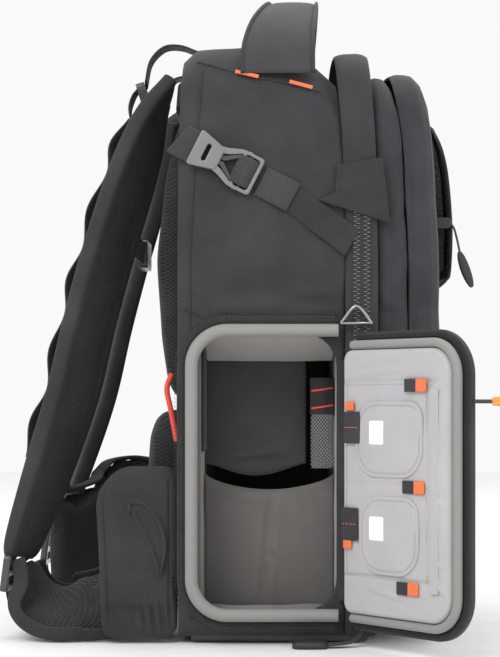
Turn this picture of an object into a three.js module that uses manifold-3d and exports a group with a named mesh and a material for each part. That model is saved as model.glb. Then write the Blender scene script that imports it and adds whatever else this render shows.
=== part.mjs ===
// A camera backpack with its side door open, in millimetres.
// +X runs from the wearer's back to the outer front, -Y is the side with the door, +Z is up, and the
// origin is the centre of the base, on the surface that the pack stands on.

import * as THREE from 'three';
import { mergeVertices } from 'three/addons/utils/BufferGeometryUtils.js';
import Module from 'manifold-3d';

const wasm = await Module();
wasm.setup();

// Body sizes
const BODY_HEIGHT = 482;
const BODY_HALF_WIDTH = 150;
const BACK_X = -103;
const SHELL_FRONT_X = 27;
const GUSSET_DEPTH = 26;
const MID_POCKET_DEPTH = 25;
const FRONT_POCKET_DEPTH = 25;
const GUSSET_PROUD = 2;
const GUSSET_HEIGHT = BODY_HEIGHT - 8;
const MID_POCKET_HALF_WIDTH = BODY_HALF_WIDTH - 4;
const MID_POCKET_HEIGHT = BODY_HEIGHT - 24;
const FRONT_POCKET_HALF_WIDTH = BODY_HALF_WIDTH - 10;
const FRONT_POCKET_HEIGHT = BODY_HEIGHT - 21;
const POCKET_FLOOR = 16;
const BASE_THICKNESS = 5;
const SHOULDER_RADIUS = 42;
const BASE_RADIUS = 16;
const CROWN = 8;
const SIDE_BULGE = 4;
const TOP_LEAN = 20;
const LEAN_START = BODY_HEIGHT - 182;
const LEAN_BREAK = BODY_HEIGHT - 87;
const BACK_LEAN = 4;

// Walls and clearances
const SHELL_WALL = 9;
const POCKET_WALL = 2.5;
const BACK_PANEL_THICKNESS = 9;
const LINING_WALL = 3;
const GAP = 0.4;
const WEBBING = 2;
const SIDE_SKIN = -(BODY_HALF_WIDTH + SIDE_BULGE + GAP);

// The camera compartment and its opening
const OPENING_LEFT = BACK_X + 13;
const OPENING_RIGHT = SHELL_FRONT_X - 6;
const OPENING_LOW = 26;
const OPENING_HIGH = 243;
const OPENING_RADIUS = 26;
const BULGE_LOW = OPENING_HIGH + 19;
const PIPING_RADIUS = 5;
const ZIP_TAPE_WIDTH = 6;
const COMPARTMENT_CLEARANCE = 10;
const COMPARTMENT_DEPTH = 2 * (BODY_HALF_WIDTH - SHELL_WALL - COMPARTMENT_CLEARANCE);

// The side door, measured from its hinge
const DOOR_WIDTH = 131;
const DOOR_LOW = OPENING_LOW - 12;
const DOOR_HIGH = OPENING_HIGH;
const DOOR_RADIUS = 34;
const DOOR_SHELL_THICKNESS = 5;
const DOOR_LINING_THICKNESS = 8;
const DOOR_SWING = -48;
const HINGE_OUT = 6;

// The harness
const PAD_HALF_WIDTH = 108;
const BACK_PAD_LOW = 192;
const BACK_PAD_HIGH = BODY_HEIGHT - 58;
const BACK_PAD_DEPTH = 27;
const LUMBAR_LOW = 40;
const LUMBAR_HIGH = 184;
const LUMBAR_DEPTH = 36;
const STRAP_WIDTH = 62;
const STRAP_THICKNESS = 14;
const STRAP_WEB_WIDTH = 24;
const HIP_PANEL_THICKNESS = 7;
const HIP_WING_THICKNESS = 11;
const HANDLE_WIDTH = 52;
const HANDLE_THICKNESS = 11;
const HANDLE_RISE = 42;
const HANDLE_X = -23;

// Colours, roughness and metalness
const FINISH = {
  shell_fabric: [0x37373a, 0.85, 0],
  pocket_fabric: [0x3d3b40, 0.85, 0],
  black_mesh: [0x1a1a1c, 0.95, 0],
  webbing: [0x2b2b2e, 0.8, 0],
  padding_fabric: [0x2f2f32, 0.85, 0],
  lining: [0xc6c4c6, 0.9, 0],
  inner_lining: [0x8f8c89, 0.9, 0],
  divider_dark: [0x3b3b3d, 0.95, 0],
  piping: [0xb9b7b0, 0.7, 0],
  zip: [0x18181a, 0.6, 0],
  net: [0x9d9b98, 0.9, 0],
  orange: [0xef6f35, 0.6, 0],
  red_trim: [0xe2453a, 0.7, 0],
  buckle: [0x59595c, 0.35, 0],
  metal: [0x9a9a9c, 0.3, 1],
};

const bag = new THREE.Group();
const v = (x, y, z) => new THREE.Vector3(x, y, z);

// A closed body from rings of equal counts, capped at its ends or joined end to end. A ring whose
// two halves mirror each other is capped in level strips.
function loft(rings, looped = false, level = false) {
  const count = rings[0].length;
  const index = [];
  const spans = looped ? rings.length : rings.length - 1;
  for (let s = 0; s < spans; s++) {
    const a = s * count;
    const b = ((s + 1) % rings.length) * count;
    for (let k = 0; k < count; k++) {
      const n = (k + 1) % count;
      index.push(a + k, a + n, b + n, a + k, b + n, b + k);
    }
  }
  if (!looped) {
    const cap = level ? addLevelCap : addCap;
    cap(index, rings[0], 0, true);
    cap(index, rings[rings.length - 1], (rings.length - 1) * count, false);
  }
  return outward(rings.flat(), index);
}

// Triangles that close one ring, seen along the axis that it faces most.
function addCap(index, ring, start, reversed) {
  const normal = v(0, 0, 0);
  ring.forEach((p, k) => normal.add(p.clone().cross(ring[(k + 1) % ring.length])));
  const size = normal.toArray().map(Math.abs);
  const drop = size.indexOf(Math.max(...size));
  const axes = [0, 1, 2].filter((k) => k !== drop);
  const flat = ring.map((p) => new THREE.Vector2(p.getComponent(axes[0]), p.getComponent(axes[1])));
  const ringTurn = Math.sign(THREE.ShapeUtils.area(flat));
  for (const [a, b, c] of THREE.ShapeUtils.triangulateShape(flat, [])) {
    const turn = Math.sign(THREE.ShapeUtils.area([flat[a], flat[b], flat[c]]));
    const flip = (turn === ringTurn) === reversed;
    index.push(start + a, start + (flip ? c : b), start + (flip ? b : c));
  }
}

// Level strips between the mirrored points of a ring, with one triangle under its top point.
function addLevelCap(index, ring, start, reversed) {
  const put = (a, b, c) => index.push(start + a, start + (reversed ? c : b), start + (reversed ? b : c));
  const top = (ring.length - 1) / 2;
  for (let k = 0; k < top - 1; k++) {
    const far = ring.length - 1 - k;
    put(k, k + 1, far - 1);
    put(k, far - 1, far);
  }
  put(top - 1, top, top + 1);
}

// A geometry whose faces point out: the order is turned where the signed volume is negative.
function outward(points, index) {
  let volume = 0;
  for (let k = 0; k < index.length; k += 3) {
    const [a, b, c] = [points[index[k]], points[index[k + 1]], points[index[k + 2]]];
    volume += a.dot(b.clone().cross(c));
  }
  if (volume < 0) index.reverse();
  const geometry = new THREE.BufferGeometry();
  geometry.setAttribute('position', new THREE.Float32BufferAttribute(points.flatMap((p) => p.toArray()), 3));
  geometry.setIndex(index);
  return geometry;
}

function welded(geometry) {
  const plain = geometry.clone();
  plain.deleteAttribute('normal');
  plain.deleteAttribute('uv');
  return mergeVertices(plain, 1e-3);
}

function solid(geometry) {
  const plain = welded(geometry);
  return new wasm.Manifold(new wasm.Mesh({
    numProp: 3,
    vertProperties: new Float32Array(plain.attributes.position.array),
    triVerts: new Uint32Array(plain.index.array),
  }));
}

function geometryOf(manifold) {
  const mesh = manifold.getMesh();
  const geometry = new THREE.BufferGeometry();
  geometry.setAttribute('position', new THREE.BufferAttribute(new Float32Array(mesh.vertProperties), 3));
  geometry.setIndex(new THREE.BufferAttribute(new Uint32Array(mesh.triVerts), 1));
  return geometry;
}

const cut = (whole, ...tools) => geometryOf(tools.reduce((a, b) => a.subtract(solid(b)), solid(whole)));
const join = (...pieces) => geometryOf(pieces.slice(1).reduce((a, b) => a.add(solid(b)), solid(pieces[0])));

function add(name, geometry, finish, parent = bag) {
  const [color, roughness, metalness] = FINISH[finish];
  const mesh = new THREE.Mesh(geometry, new THREE.MeshStandardMaterial({ color, roughness, metalness }));
  mesh.name = name;
  parent.add(mesh);
  return mesh;
}

// A rounded rectangle as a list of corners; the radii run from low left, against the clock.
function roundedBox(x0, x1, z0, z1, radii, steps = 4) {
  const corners = [
    [x0, z0, 1, 1, 180], [x1, z0, -1, 1, 270], [x1, z1, -1, -1, 0], [x0, z1, 1, -1, 90],
  ];
  const points = [];
  corners.forEach(([x, z, sx, sz, from], k) => {
    const r = radii[k];
    for (let s = 0; s <= (r > 0 ? steps : 0); s++) {
      const a = THREE.MathUtils.degToRad(from + (90 * s) / steps);
      points.push([x + sx * r + r * Math.cos(a), z + sz * r + r * Math.sin(a)]);
    }
  });
  return points;
}

// A flat piece cut to an outline of [x, z] points, lying between two planes of y.
function plate(outline, y0, y1, holes = []) {
  const shape = new THREE.Shape(outline.map(([x, z]) => new THREE.Vector2(x, z)));
  shape.holes = holes.map((hole) => new THREE.Path(hole.map(([x, z]) => new THREE.Vector2(x, z))));
  const geometry = new THREE.ExtrudeGeometry(shape, { depth: Math.abs(y1 - y0), bevelEnabled: false });
  return geometry.rotateX(Math.PI / 2).translate(0, Math.max(y0, y1), 0);
}

// A band of flat section along a smooth path. Each row has its point, the direction across the band
// there and its width; edge is the share of the thickness that its corners are cut back.
function band(rows, thickness, steps, edge = 0) {
  const curve = new THREE.CatmullRomCurve3(rows.map((row) => v(...row.at)));
  const across = new THREE.CatmullRomCurve3(rows.map((row) => v(...row.across).normalize()));
  const width = new THREE.CatmullRomCurve3(rows.map((row) => v(row.wide, row.thick ?? 1, 0)));
  const rings = [];
  for (let s = 0; s <= steps; s++) {
    const t = s / steps;
    const centre = curve.getPoint(t);
    const along = curve.getTangent(t);
    const normal = along.clone().cross(across.getPoint(t)).normalize();
    const side = normal.clone().cross(along).normalize();
    const size = width.getPoint(t);
    const half = size.x / 2;
    const deep = (thickness * size.y) / 2;
    const back = edge * thickness;
    const corners = edge > 0
      ? [[-half, -deep + back], [-half + back, -deep], [half - back, -deep], [half, -deep + back],
        [half, deep - back], [half - back, deep], [-half + back, deep], [-half, deep - back]]
      : [[-half, -deep], [half, -deep], [half, deep], [-half, deep]];
    rings.push(corners.map(([a, b]) => centre.clone().addScaledVector(side, a).addScaledVector(normal, b)));
  }
  return loft(rings);
}

// A round rope along a list of points; it is joined end to end where looped.
function rope(points, radius, sides, looped) {
  const rings = points.map((p, k) => {
    const before = points[looped ? (k + points.length - 1) % points.length : Math.max(k - 1, 0)];
    const after = points[looped ? (k + 1) % points.length : Math.min(k + 1, points.length - 1)];
    const along = after.clone().sub(before).normalize();
    const lead = Math.abs(along.y) > 0.9 ? v(1, 0, 0) : v(0, 1, 0);
    const side = along.clone().cross(lead).normalize();
    const up = side.clone().cross(along);
    return Array.from({ length: sides }, (_, s) => {
      const a = (2 * Math.PI * s) / sides;
      return p.clone().addScaledVector(side, radius * Math.cos(a)).addScaledVector(up, radius * Math.sin(a));
    });
  });
  return loft(rings, looped);
}

// Mirrors a geometry to the other side of the pack and keeps its faces pointing out.
function mirrored(geometry) {
  const plain = welded(geometry);
  const points = [];
  const at = plain.attributes.position;
  for (let k = 0; k < at.count; k++) points.push(v(at.getX(k), -at.getY(k), at.getZ(k)));
  return outward(points, Array.from(plain.index.array));
}

// The share of the lean at a height: seams of the front pieces run back towards the top, gently up
// to the break and faster above it.
const LEAN_AT_BREAK = 0.22;
function leanShare(z) {
  const gentle = THREE.MathUtils.clamp((z - LEAN_START) / (LEAN_BREAK - LEAN_START), 0, 1);
  const steep = Math.max(0, (z - LEAN_BREAK) / (BODY_HEIGHT - LEAN_BREAK));
  return LEAN_AT_BREAK * gentle + (1 - LEAN_AT_BREAK) * steep;
}
const seam = (x, lean) => (z) => x - lean * leanShare(z);

// The pack's outline seen from the front: flat base, upright sides that swell in their upper part,
// round shoulders and a crowned top. It lies on a seam, which gives x at each height.
function hoop(half, low, high, inset, xAt, bulge = SIDE_BULGE) {
  const w = half - inset;
  const bottom = low + inset;
  const top = high - inset;
  const rs = Math.max(SHOULDER_RADIUS - inset, 2);
  const rb = Math.max(BASE_RADIUS - inset, 2);
  const shoulder = top - CROWN - rs;
  const side = [];
  for (let s = 0; s <= 3; s++) {
    const a = THREE.MathUtils.degToRad(270 - 30 * s);
    side.push([-w + rb + rb * Math.cos(a), bottom + rb + rb * Math.sin(a)]);
  }
  side.push([-w, BULGE_LOW]);
  side.push([-w - bulge, LEAN_START]);
  side.push([-w - bulge, LEAN_BREAK]);
  for (let s = 0; s <= 5; s++) {
    const a = THREE.MathUtils.degToRad(180 - 18 * s);
    side.push([-w + rs + rs * Math.cos(a), shoulder + rs * Math.sin(a)]);
  }
  side.push([(-w + rs) / 2, top - CROWN / 4]);
  const far = side.slice().reverse().map(([y, z]) => [-y, z]);
  const ring = [...side, [0, top], ...far];
  return ring.map(([y, z]) => v(xAt(z), y, z));
}

// Main shell: a padded gusset, open to the back panel and to the front pieces.
// at is the share of its depth; half and crest are shares of the pack's half width and height.
const SHELL_SECTIONS = [
  { at: 0, half: 0.975, crest: 0.975 },
  { at: 0.09, half: 1, crest: 0.992 },
  { at: 0.5, half: 1, crest: 1 },
  { at: 0.85, half: 1, crest: 0.97 },
  { at: 1, half: 0.985, crest: 0.935 },
];
const backSeam = seam(BACK_X, -BACK_LEAN);
const shellFront = seam(SHELL_FRONT_X, TOP_LEAN * 0.5);
const between = (a, b, share) => (z) => a(z) + (b(z) - a(z)) * share;

function shellRings(inset) {
  return SHELL_SECTIONS.map(({ at, half, crest }) => hoop(
    half * BODY_HALF_WIDTH, BASE_THICKNESS + GAP, crest * BODY_HEIGHT, inset, between(backSeam, shellFront, at),
  ));
}
const opening = roundedBox(
  OPENING_LEFT, OPENING_RIGHT, OPENING_LOW, OPENING_HIGH,
  [OPENING_RADIUS, OPENING_RADIUS / 3, OPENING_RADIUS / 3, OPENING_RADIUS],
);
const hollowHoop = (outer, inner) => loft([...outer, ...inner.reverse()], true);
add('main_shell', cut(
  hollowHoop(shellRings(0), shellRings(SHELL_WALL)),
  plate(opening, -BODY_HALF_WIDTH - 20, -BODY_HALF_WIDTH + SHELL_WALL + 15),
), 'shell_fabric');

// Back panel inside the shell's back edge, cut to the shell's inner outline.
const backFace = (z) => backSeam(z) + 1;
const panelRing = (x) => hoop(
  BODY_HALF_WIDTH * SHELL_SECTIONS[0].half, BASE_THICKNESS + GAP, BODY_HEIGHT * SHELL_SECTIONS[0].crest,
  SHELL_WALL + GAP, (z) => backFace(z) + x,
);
add('back_panel', loft([panelRing(0), panelRing(BACK_PANEL_THICKNESS)], false, true), 'black_mesh');

// Base panel: the flat, tough patch that the pack stands on.
const GUSSET_FRONT_X = SHELL_FRONT_X + GUSSET_DEPTH;
add('base_panel', plate(
  roundedBox(BACK_X + 2, GUSSET_FRONT_X - 2, 0, 2 * (BODY_HALF_WIDTH - BASE_RADIUS), [14, 14, 14, 14]),
  0, BASE_THICKNESS,
).rotateX(Math.PI / 2).translate(0, BODY_HALF_WIDTH - BASE_RADIUS, 0), 'webbing');

// Zip gusset: a wide soft hoop in front of the shell, standing a little proud of it.
// swell is the share of the proud height that its outline has at each share of its depth.
const GUSSET_SECTIONS = [
  { at: 0, swell: -1 }, { at: 0.2, swell: 1 }, { at: 0.8, swell: 1 }, { at: 1, swell: -1 },
];
const gussetFront = seam(GUSSET_FRONT_X, TOP_LEAN * 0.45);
const gussetBack = (z) => shellFront(z) + GAP;
function gussetRings(inset) {
  return GUSSET_SECTIONS.map(({ at, swell }) => {
    const half = BODY_HALF_WIDTH + (inset > 0 ? -GUSSET_PROUD : swell * GUSSET_PROUD);
    const high = GUSSET_HEIGHT + (inset > 0 ? -2 * GUSSET_PROUD : 2 * swell * GUSSET_PROUD);
    return hoop(half, BASE_THICKNESS + GAP, high, inset, between(gussetBack, gussetFront, at), 0);
  });
}
add('zip_gusset', hollowHoop(gussetRings(0), gussetRings(POCKET_WALL + 1.5)), 'pocket_fabric');

// A pocket is a dish, open towards the back and closed at its front with a soft round edge.
// at is the share of its depth, pull how far its outline is drawn in there, in walls.
const DISH_SECTIONS = [
  { at: 0, pull: 0.6 }, { at: 0.25, pull: 0 }, { at: 0.7, pull: 0.6 }, { at: 0.92, pull: 3.2 }, { at: 1, pull: 7 },
];
function dish(half, high, back, front, lean) {
  const from = seam(back, lean[0]);
  const to = seam(front, lean[1]);
  const rings = (wall) => DISH_SECTIONS.map(({ at, pull }) => {
    const place = between(from, to, at);
    return hoop(half, POCKET_FLOOR, high, wall + pull * POCKET_WALL, (z) => place(z) - at * wall, 1);
  });
  return loft([...rings(POCKET_WALL).reverse(), ...rings(0)], false, true);
}
const MID_FRONT_X = GUSSET_FRONT_X + MID_POCKET_DEPTH;
const FACE_X = MID_FRONT_X + FRONT_POCKET_DEPTH;
add('middle_pocket', dish(
  MID_POCKET_HALF_WIDTH, MID_POCKET_HEIGHT, GUSSET_FRONT_X + GAP, MID_FRONT_X, [TOP_LEAN * 0.45, TOP_LEAN],
), 'pocket_fabric');
add('front_pocket', dish(
  FRONT_POCKET_HALF_WIDTH, FRONT_POCKET_HEIGHT, MID_FRONT_X - 1, FACE_X, [TOP_LEAN, TOP_LEAN],
), 'pocket_fabric');

// Flap pocket and flap on the front face. z is the height, out how far the skin stands from the
// face there and half the half width; the flap is the same form, one flap thickness further out.
const FLAP_ROWS = [
  { z: BODY_HEIGHT - 183, out: 9, half: 88 },
  { z: BODY_HEIGHT - 152, out: 11, half: 92 },
  { z: BODY_HEIGHT - 112, out: 10, half: 92 },
  { z: BODY_HEIGHT - 87, out: 7.5, half: 86 },
  { z: BODY_HEIGHT - 66, out: 3.5, half: 72 },
];
const FLAP_THICKNESS = 3;
const FLAP_HEM = 6;
const frontFace = seam(FACE_X, TOP_LEAN);
// One layer: its back at a distance from the face, its front at another, both as functions of out.
function flapLayer(backOut, frontOut, grow, drop) {
  return loft(FLAP_ROWS.map(({ z, out, half }, k) => {
    const level = k === 0 ? z - drop : z;
    const back = frontFace(level) + backOut(out);
    const front = frontFace(level) + frontOut(out);
    const w = half + grow;
    const soft = (front - back) * 0.35;
    return [
      v(back, -w, level), v(front - soft, -w, level), v(front, -w + 6, level), v(front, w - 6, level),
      v(front - soft, w, level), v(back, w, level),
    ];
  }));
}
add('flap_pocket', flapLayer(() => GAP, (out) => GAP + out, 0, 0), 'black_mesh');
add('front_flap', flapLayer(
  (out) => 2 * GAP + out, (out) => 2 * GAP + out + FLAP_THICKNESS, 3, FLAP_HEM,
), 'pocket_fabric');

// Coil strip down each side of the gusset, from under the compression wing to the base.
const ZIP_STRIP_LOW = 28;
const ZIP_STRIP_HIGH = BODY_HEIGHT - 142;
const zipStrip = plate(
  roundedBox(SHELL_FRONT_X + 6, GUSSET_FRONT_X - 6, ZIP_STRIP_LOW, ZIP_STRIP_HIGH, [3, 3, 3, 3], 2),
  -BODY_HALF_WIDTH - GUSSET_PROUD - GAP - 1.5, -BODY_HALF_WIDTH - GUSSET_PROUD - GAP,
);
add('zip_strip_near', zipStrip, 'zip');
add('zip_strip_far', mirrored(zipStrip), 'zip');

// Camera compartment: a padded tub behind the opening, open towards the door side.
const SHELL_INNER_Y = -BODY_HALF_WIDTH + SHELL_WALL;
const TUB_LEFT = OPENING_LEFT + 1;
const TUB_RIGHT = OPENING_RIGHT + 3;
const TUB_EDGE = 3;
const TUB_CORNER = LINING_WALL + 1;
const TUB_LOW = BASE_THICKNESS + GAP + SHELL_WALL + GAP + TUB_EDGE;
const TUB_HIGH = OPENING_HIGH + 10;
const TUB_NEAR = SHELL_INNER_Y + TUB_EDGE;
const inTub = (inset) => roundedBox(
  TUB_LEFT + inset, TUB_RIGHT - inset, TUB_LOW + inset, TUB_HIGH - inset, Array(4).fill(TUB_CORNER - inset), 2,
);
add('compartment_lining', cut(
  plate(inTub(0), TUB_NEAR, TUB_NEAR + COMPARTMENT_DEPTH),
  plate(inTub(LINING_WALL), TUB_NEAR - 5, TUB_NEAR + COMPARTMENT_DEPTH - LINING_WALL),
), 'inner_lining');

// Rope and tape that run round the opening on the outside of the shell.
const shellSide = -BODY_HALF_WIDTH;
const aroundOpening = (out) => roundedBox(
  OPENING_LEFT - out, OPENING_RIGHT + out, OPENING_LOW - out, OPENING_HIGH + out,
  [OPENING_RADIUS + out, OPENING_RADIUS / 3 + out, OPENING_RADIUS / 3 + out, OPENING_RADIUS + out], 5,
);
// Both run round two corners of an outline and end at the hinge side: an open path of [x, z] points.
function openPath(outline, corners, endX) {
  const count = outline.length / 4;
  const turned = corners.flatMap((k) => outline.slice(k * count, (k + 1) * count));
  return [[endX, turned[0][1]], ...turned, [endX, turned[turned.length - 1][1]]];
}
const openingPath = (out) => openPath(aroundOpening(out), [3, 0], OPENING_RIGHT + 1);
add('opening_piping', rope(
  openingPath(PIPING_RADIUS * 0.4).map(([x, z]) => v(x, shellSide - PIPING_RADIUS - GAP, z)),
  PIPING_RADIUS, 8, false,
), 'piping');
const TAPE_INSIDE = PIPING_RADIUS * 1.4 + GAP;
add('opening_zip', plate(
  [...openingPath(TAPE_INSIDE + ZIP_TAPE_WIDTH), ...openingPath(TAPE_INSIDE).reverse()],
  shellSide - 2.5, shellSide - GAP,
), 'zip');

// Dividers: padded walls that stand in the compartment.
// Rows run up the panel; near is how far its face bellies towards the door, top and low are trims.
const DIVIDER_FACE = TUB_NEAR + 46;
const DIVIDER_THICKNESS = 9;
const DIVIDER_SPLIT = 132;
const TUB_INNER = { left: TUB_LEFT + LINING_WALL + GAP, right: TUB_RIGHT - LINING_WALL - GAP };
function paddedWall(left, right, low, high, face, dips) {
  const columns = dips.map(({ at, near, top, low: lift }) => {
    const x = left + (right - left) * at;
    const [z0, z1] = [low + lift, high - top];
    const [front, back] = [face - near, face + DIVIDER_THICKNESS];
    const soft = DIVIDER_THICKNESS * 0.3;
    return [
      v(x, front + soft, z0), v(x, front, z0 + soft), v(x, front - 2, (z0 + z1) / 2), v(x, front, z1 - soft),
      v(x, front + soft, z1), v(x, back, z1), v(x, back, z0),
    ];
  });
  return loft(columns);
}
const DARK_DIPS = [
  { at: 0, near: -3, top: 0, low: 0 }, { at: 0.08, near: 1, top: 0, low: -3 },
  { at: 0.45, near: 4, top: 0, low: -12 }, { at: 0.9, near: 2, top: 0, low: -4 }, { at: 1, near: -3, top: 0, low: 0 },
];
const LIGHT_DIPS = [
  { at: 0, near: -2, top: 0, low: 0 }, { at: 0.3, near: 3, top: 14, low: 0 }, { at: 0.55, near: -1, top: 15, low: 0 },
  { at: 0.62, near: 3, top: 14, low: 0 }, { at: 0.9, near: 2, top: 4, low: 0 }, { at: 1, near: -2, top: 0, low: 0 },
];
const FLOOR_Z = TUB_LOW + LINING_WALL + GAP;
const CEILING_Z = TUB_HIGH - LINING_WALL - GAP;
const MESH_POCKET_LEFT = TUB_INNER.right - 20;
add('divider_dark', paddedWall(
  TUB_INNER.left, MESH_POCKET_LEFT - 3, DIVIDER_SPLIT + 14, CEILING_Z, DIVIDER_FACE + 12, DARK_DIPS,
), 'divider_dark');
add('divider_light', paddedWall(
  TUB_INNER.left, TUB_INNER.right, FLOOR_Z, DIVIDER_SPLIT, DIVIDER_FACE, LIGHT_DIPS,
), 'inner_lining');
add('mesh_pocket', paddedWall(
  MESH_POCKET_LEFT, TUB_INNER.right, DIVIDER_SPLIT + 3, DIVIDER_SPLIT + 78, DIVIDER_FACE - 8,
  [{ at: 0, near: 0, top: 0, low: 0 }, { at: 0.5, near: 4, top: 0, low: 0 }, { at: 1, near: 0, top: 0, low: 0 }],
), 'net');

// Side door: everything on it is drawn flat, with x along the door from its hinge and -y towards
// the face that looks in when it is shut, and the whole group is turned about the hinge.
const HINGE_X = OPENING_RIGHT + HINGE_OUT;
const HINGE_Y = shellSide - 6;
const door = new THREE.Group();
door.position.set(HINGE_X, HINGE_Y, 0);
door.rotation.z = THREE.MathUtils.degToRad(DOOR_SWING);
bag.add(door);
const DOOR_START = 4;
const ZIP_EDGE = 6;
const doorOutline = (inset, hingeInset = inset) => roundedBox(
  DOOR_START + hingeInset, DOOR_WIDTH - inset, DOOR_LOW + inset, DOOR_HIGH - inset,
  [10, DOOR_RADIUS - inset, DOOR_RADIUS - inset, 10], 6,
);
const SHELL_EDGE = ZIP_EDGE + GAP;
add('door_shell', plate(doorOutline(SHELL_EDGE, 0), 0, DOOR_SHELL_THICKNESS), 'shell_fabric', door);
const liningBack = -GAP;
const liningFace = liningBack - DOOR_LINING_THICKNESS;
const DOOR_PIPE = 3.5;
const LINING_EDGE = SHELL_EDGE + 2 * DOOR_PIPE + GAP;
add('door_lining', plate(doorOutline(LINING_EDGE, 2), liningFace, liningBack), 'lining', door);
const pipeLine = (inset) => openPath(doorOutline(inset, 0), [1, 2], DOOR_START + 8);
const edgeRope = (inset, y, radius, sides) => rope(pipeLine(inset).map(([x, z]) => v(x, y, z)), radius, sides, false);
add('door_piping', edgeRope(
  SHELL_EDGE + DOOR_PIPE, -DOOR_PIPE - GAP, DOOR_PIPE - 0.05, 8,
), 'piping', door);
add('door_zip', edgeRope(ZIP_EDGE / 2, DOOR_SHELL_THICKNESS / 2, ZIP_EDGE / 2 - 0.05, 6), 'zip', door);

// Cloth hinge between the shell's side and the door.
const HINGE_LENGTH = 190;
const HINGE_Z = (DOOR_LOW + DOOR_HIGH) / 2;
const hingeRow = (x, y) => ({ at: [x, y, HINGE_Z], across: [0, 0, 1], wide: HINGE_LENGTH });
add('door_hinge', band([
  hingeRow(HINGE_X - 4.6, shellSide - GAP - WEBBING / 2 + 2), hingeRow(HINGE_X - 0.9, shellSide - 0.9),
  hingeRow(HINGE_X + 2.3, shellSide - 4.7), hingeRow(HINGE_X + 4, shellSide - 6.7),
], WEBBING, 6), 'webbing');

// Card pockets, tabs and the elastic strip on the door's inner face.
const POCKET_SKIN = 2;
const pocketFace = liningFace - GAP;
const CARD_POCKETS = [
  { name: 'card_pocket_upper', low: 133, high: 190, left: 22, right: 92 },
  { name: 'card_pocket_lower', low: 60, high: 119, left: 26, right: 88 },
];
for (const { name, low, high, left, right } of CARD_POCKETS) {
  const outline = roundedBox(left, right, low, high, [22, 22, 3, 3], 4);
  add(name, plate(outline, pocketFace - POCKET_SKIN, pocketFace), 'lining', door);
}
add('door_elastic', plate(
  roundedBox(101, 109, 48, 200, [1, 1, 1, 1], 1), pocketFace - 1.2, pocketFace,
), 'lining', door);
const tabFace = pocketFace - POCKET_SKIN - GAP;
const TABS = [
  { name: 'tab_upper_edge', x: 74, z: 197, wide: 22, high: 9 },
  { name: 'tab_upper_hinge', x: 6, z: 158, wide: 20, high: 24 },
  { name: 'tab_middle', x: 72, z: 122, wide: 22, high: 9 },
  { name: 'tab_lower_hinge', x: 5, z: 84, wide: 20, high: 25 },
  { name: 'tab_lower_edge', x: 66, z: 47, wide: 22, high: 10 },
];
for (const { name, x, z, wide, high } of TABS) {
  const overPocket = CARD_POCKETS.some((p) => x < p.right && x + wide > p.left && z < p.high && z + high > p.low);
  const face = overPocket ? tabFace : pocketFace;
  add(name, plate(roundedBox(x, x + wide, z, z + high, [0, 0, 0, 0]), face - 1.5, face), 'orange', door);
}

// Pulls: a stem and a soft tag at the door's edge, and a wire triangle at the hinge.
const PULL_Z = 190;
add('door_zip_pull', join(
  plate(roundedBox(DOOR_WIDTH + GAP, DOOR_WIDTH + 18, PULL_Z - 2, PULL_Z + 2, [1, 1, 1, 1], 1), 1, 4),
  plate(roundedBox(DOOR_WIDTH + 16, DOOR_WIDTH + 36, PULL_Z - 4, PULL_Z + 4, [3, 3, 3, 3], 2), 0, 5),
), 'orange', door);
const WIRE = 1.3;
add('hinge_pull', rope([
  v(HINGE_X - 3.4, shellSide - 8, OPENING_HIGH + 7), v(HINGE_X + 9, shellSide - 9, OPENING_HIGH + 21),
  v(HINGE_X + 20, shellSide - 8, OPENING_HIGH + 8),
], WIRE, 6, true), 'metal');

// The padded back. Rows run up a pad; deep is its share of the full depth and wide of the half width.
function pad(rows, low, high, halfWidth, depth, xBack) {
  return loft(rows.map(({ at, deep, wide }) => {
    const z = low + (high - low) * at;
    const w = halfWidth * wide;
    const x = xBack(z) - GAP;
    const d = depth * deep;
    const r = Math.min(d * 0.45, 14);
    return [
      v(x, -w, z), v(x, w, z), v(x - d + r, w, z), v(x - d + r * 0.3, w - r * 0.6, z), v(x - d, w - r * 1.7, z),
      v(x - d * 0.94, 0, z), v(x - d, -w + r * 1.7, z), v(x - d + r * 0.3, -w + r * 0.6, z), v(x - d + r, -w, z),
    ];
  }));
}
const BACK_PAD_ROWS = [
  { at: 0, deep: 0.3, wide: 0.86 }, { at: 0.05, deep: 0.6, wide: 0.95 }, { at: 0.22, deep: 0.85, wide: 1 },
  { at: 0.5, deep: 1, wide: 1 }, { at: 0.75, deep: 0.74, wide: 0.97 }, { at: 0.95, deep: 0.42, wide: 0.8 },
  { at: 1, deep: 0.25, wide: 0.72 },
];
const LUMBAR_ROWS = [
  { at: 0, deep: 0.4, wide: 0.94 }, { at: 0.08, deep: 0.75, wide: 1 }, { at: 0.5, deep: 1, wide: 1 },
  { at: 0.85, deep: 0.95, wide: 1 }, { at: 0.96, deep: 0.75, wide: 0.96 }, { at: 1, deep: 0.45, wide: 0.9 },
];
const backSkin = backFace;
add('back_pad', pad(BACK_PAD_ROWS, BACK_PAD_LOW, BACK_PAD_HIGH, PAD_HALF_WIDTH, BACK_PAD_DEPTH, backSkin), 'black_mesh');
add('lumbar_pad', pad(LUMBAR_ROWS, LUMBAR_LOW, LUMBAR_HIGH, PAD_HALF_WIDTH, LUMBAR_DEPTH, backSkin), 'black_mesh');

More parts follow.
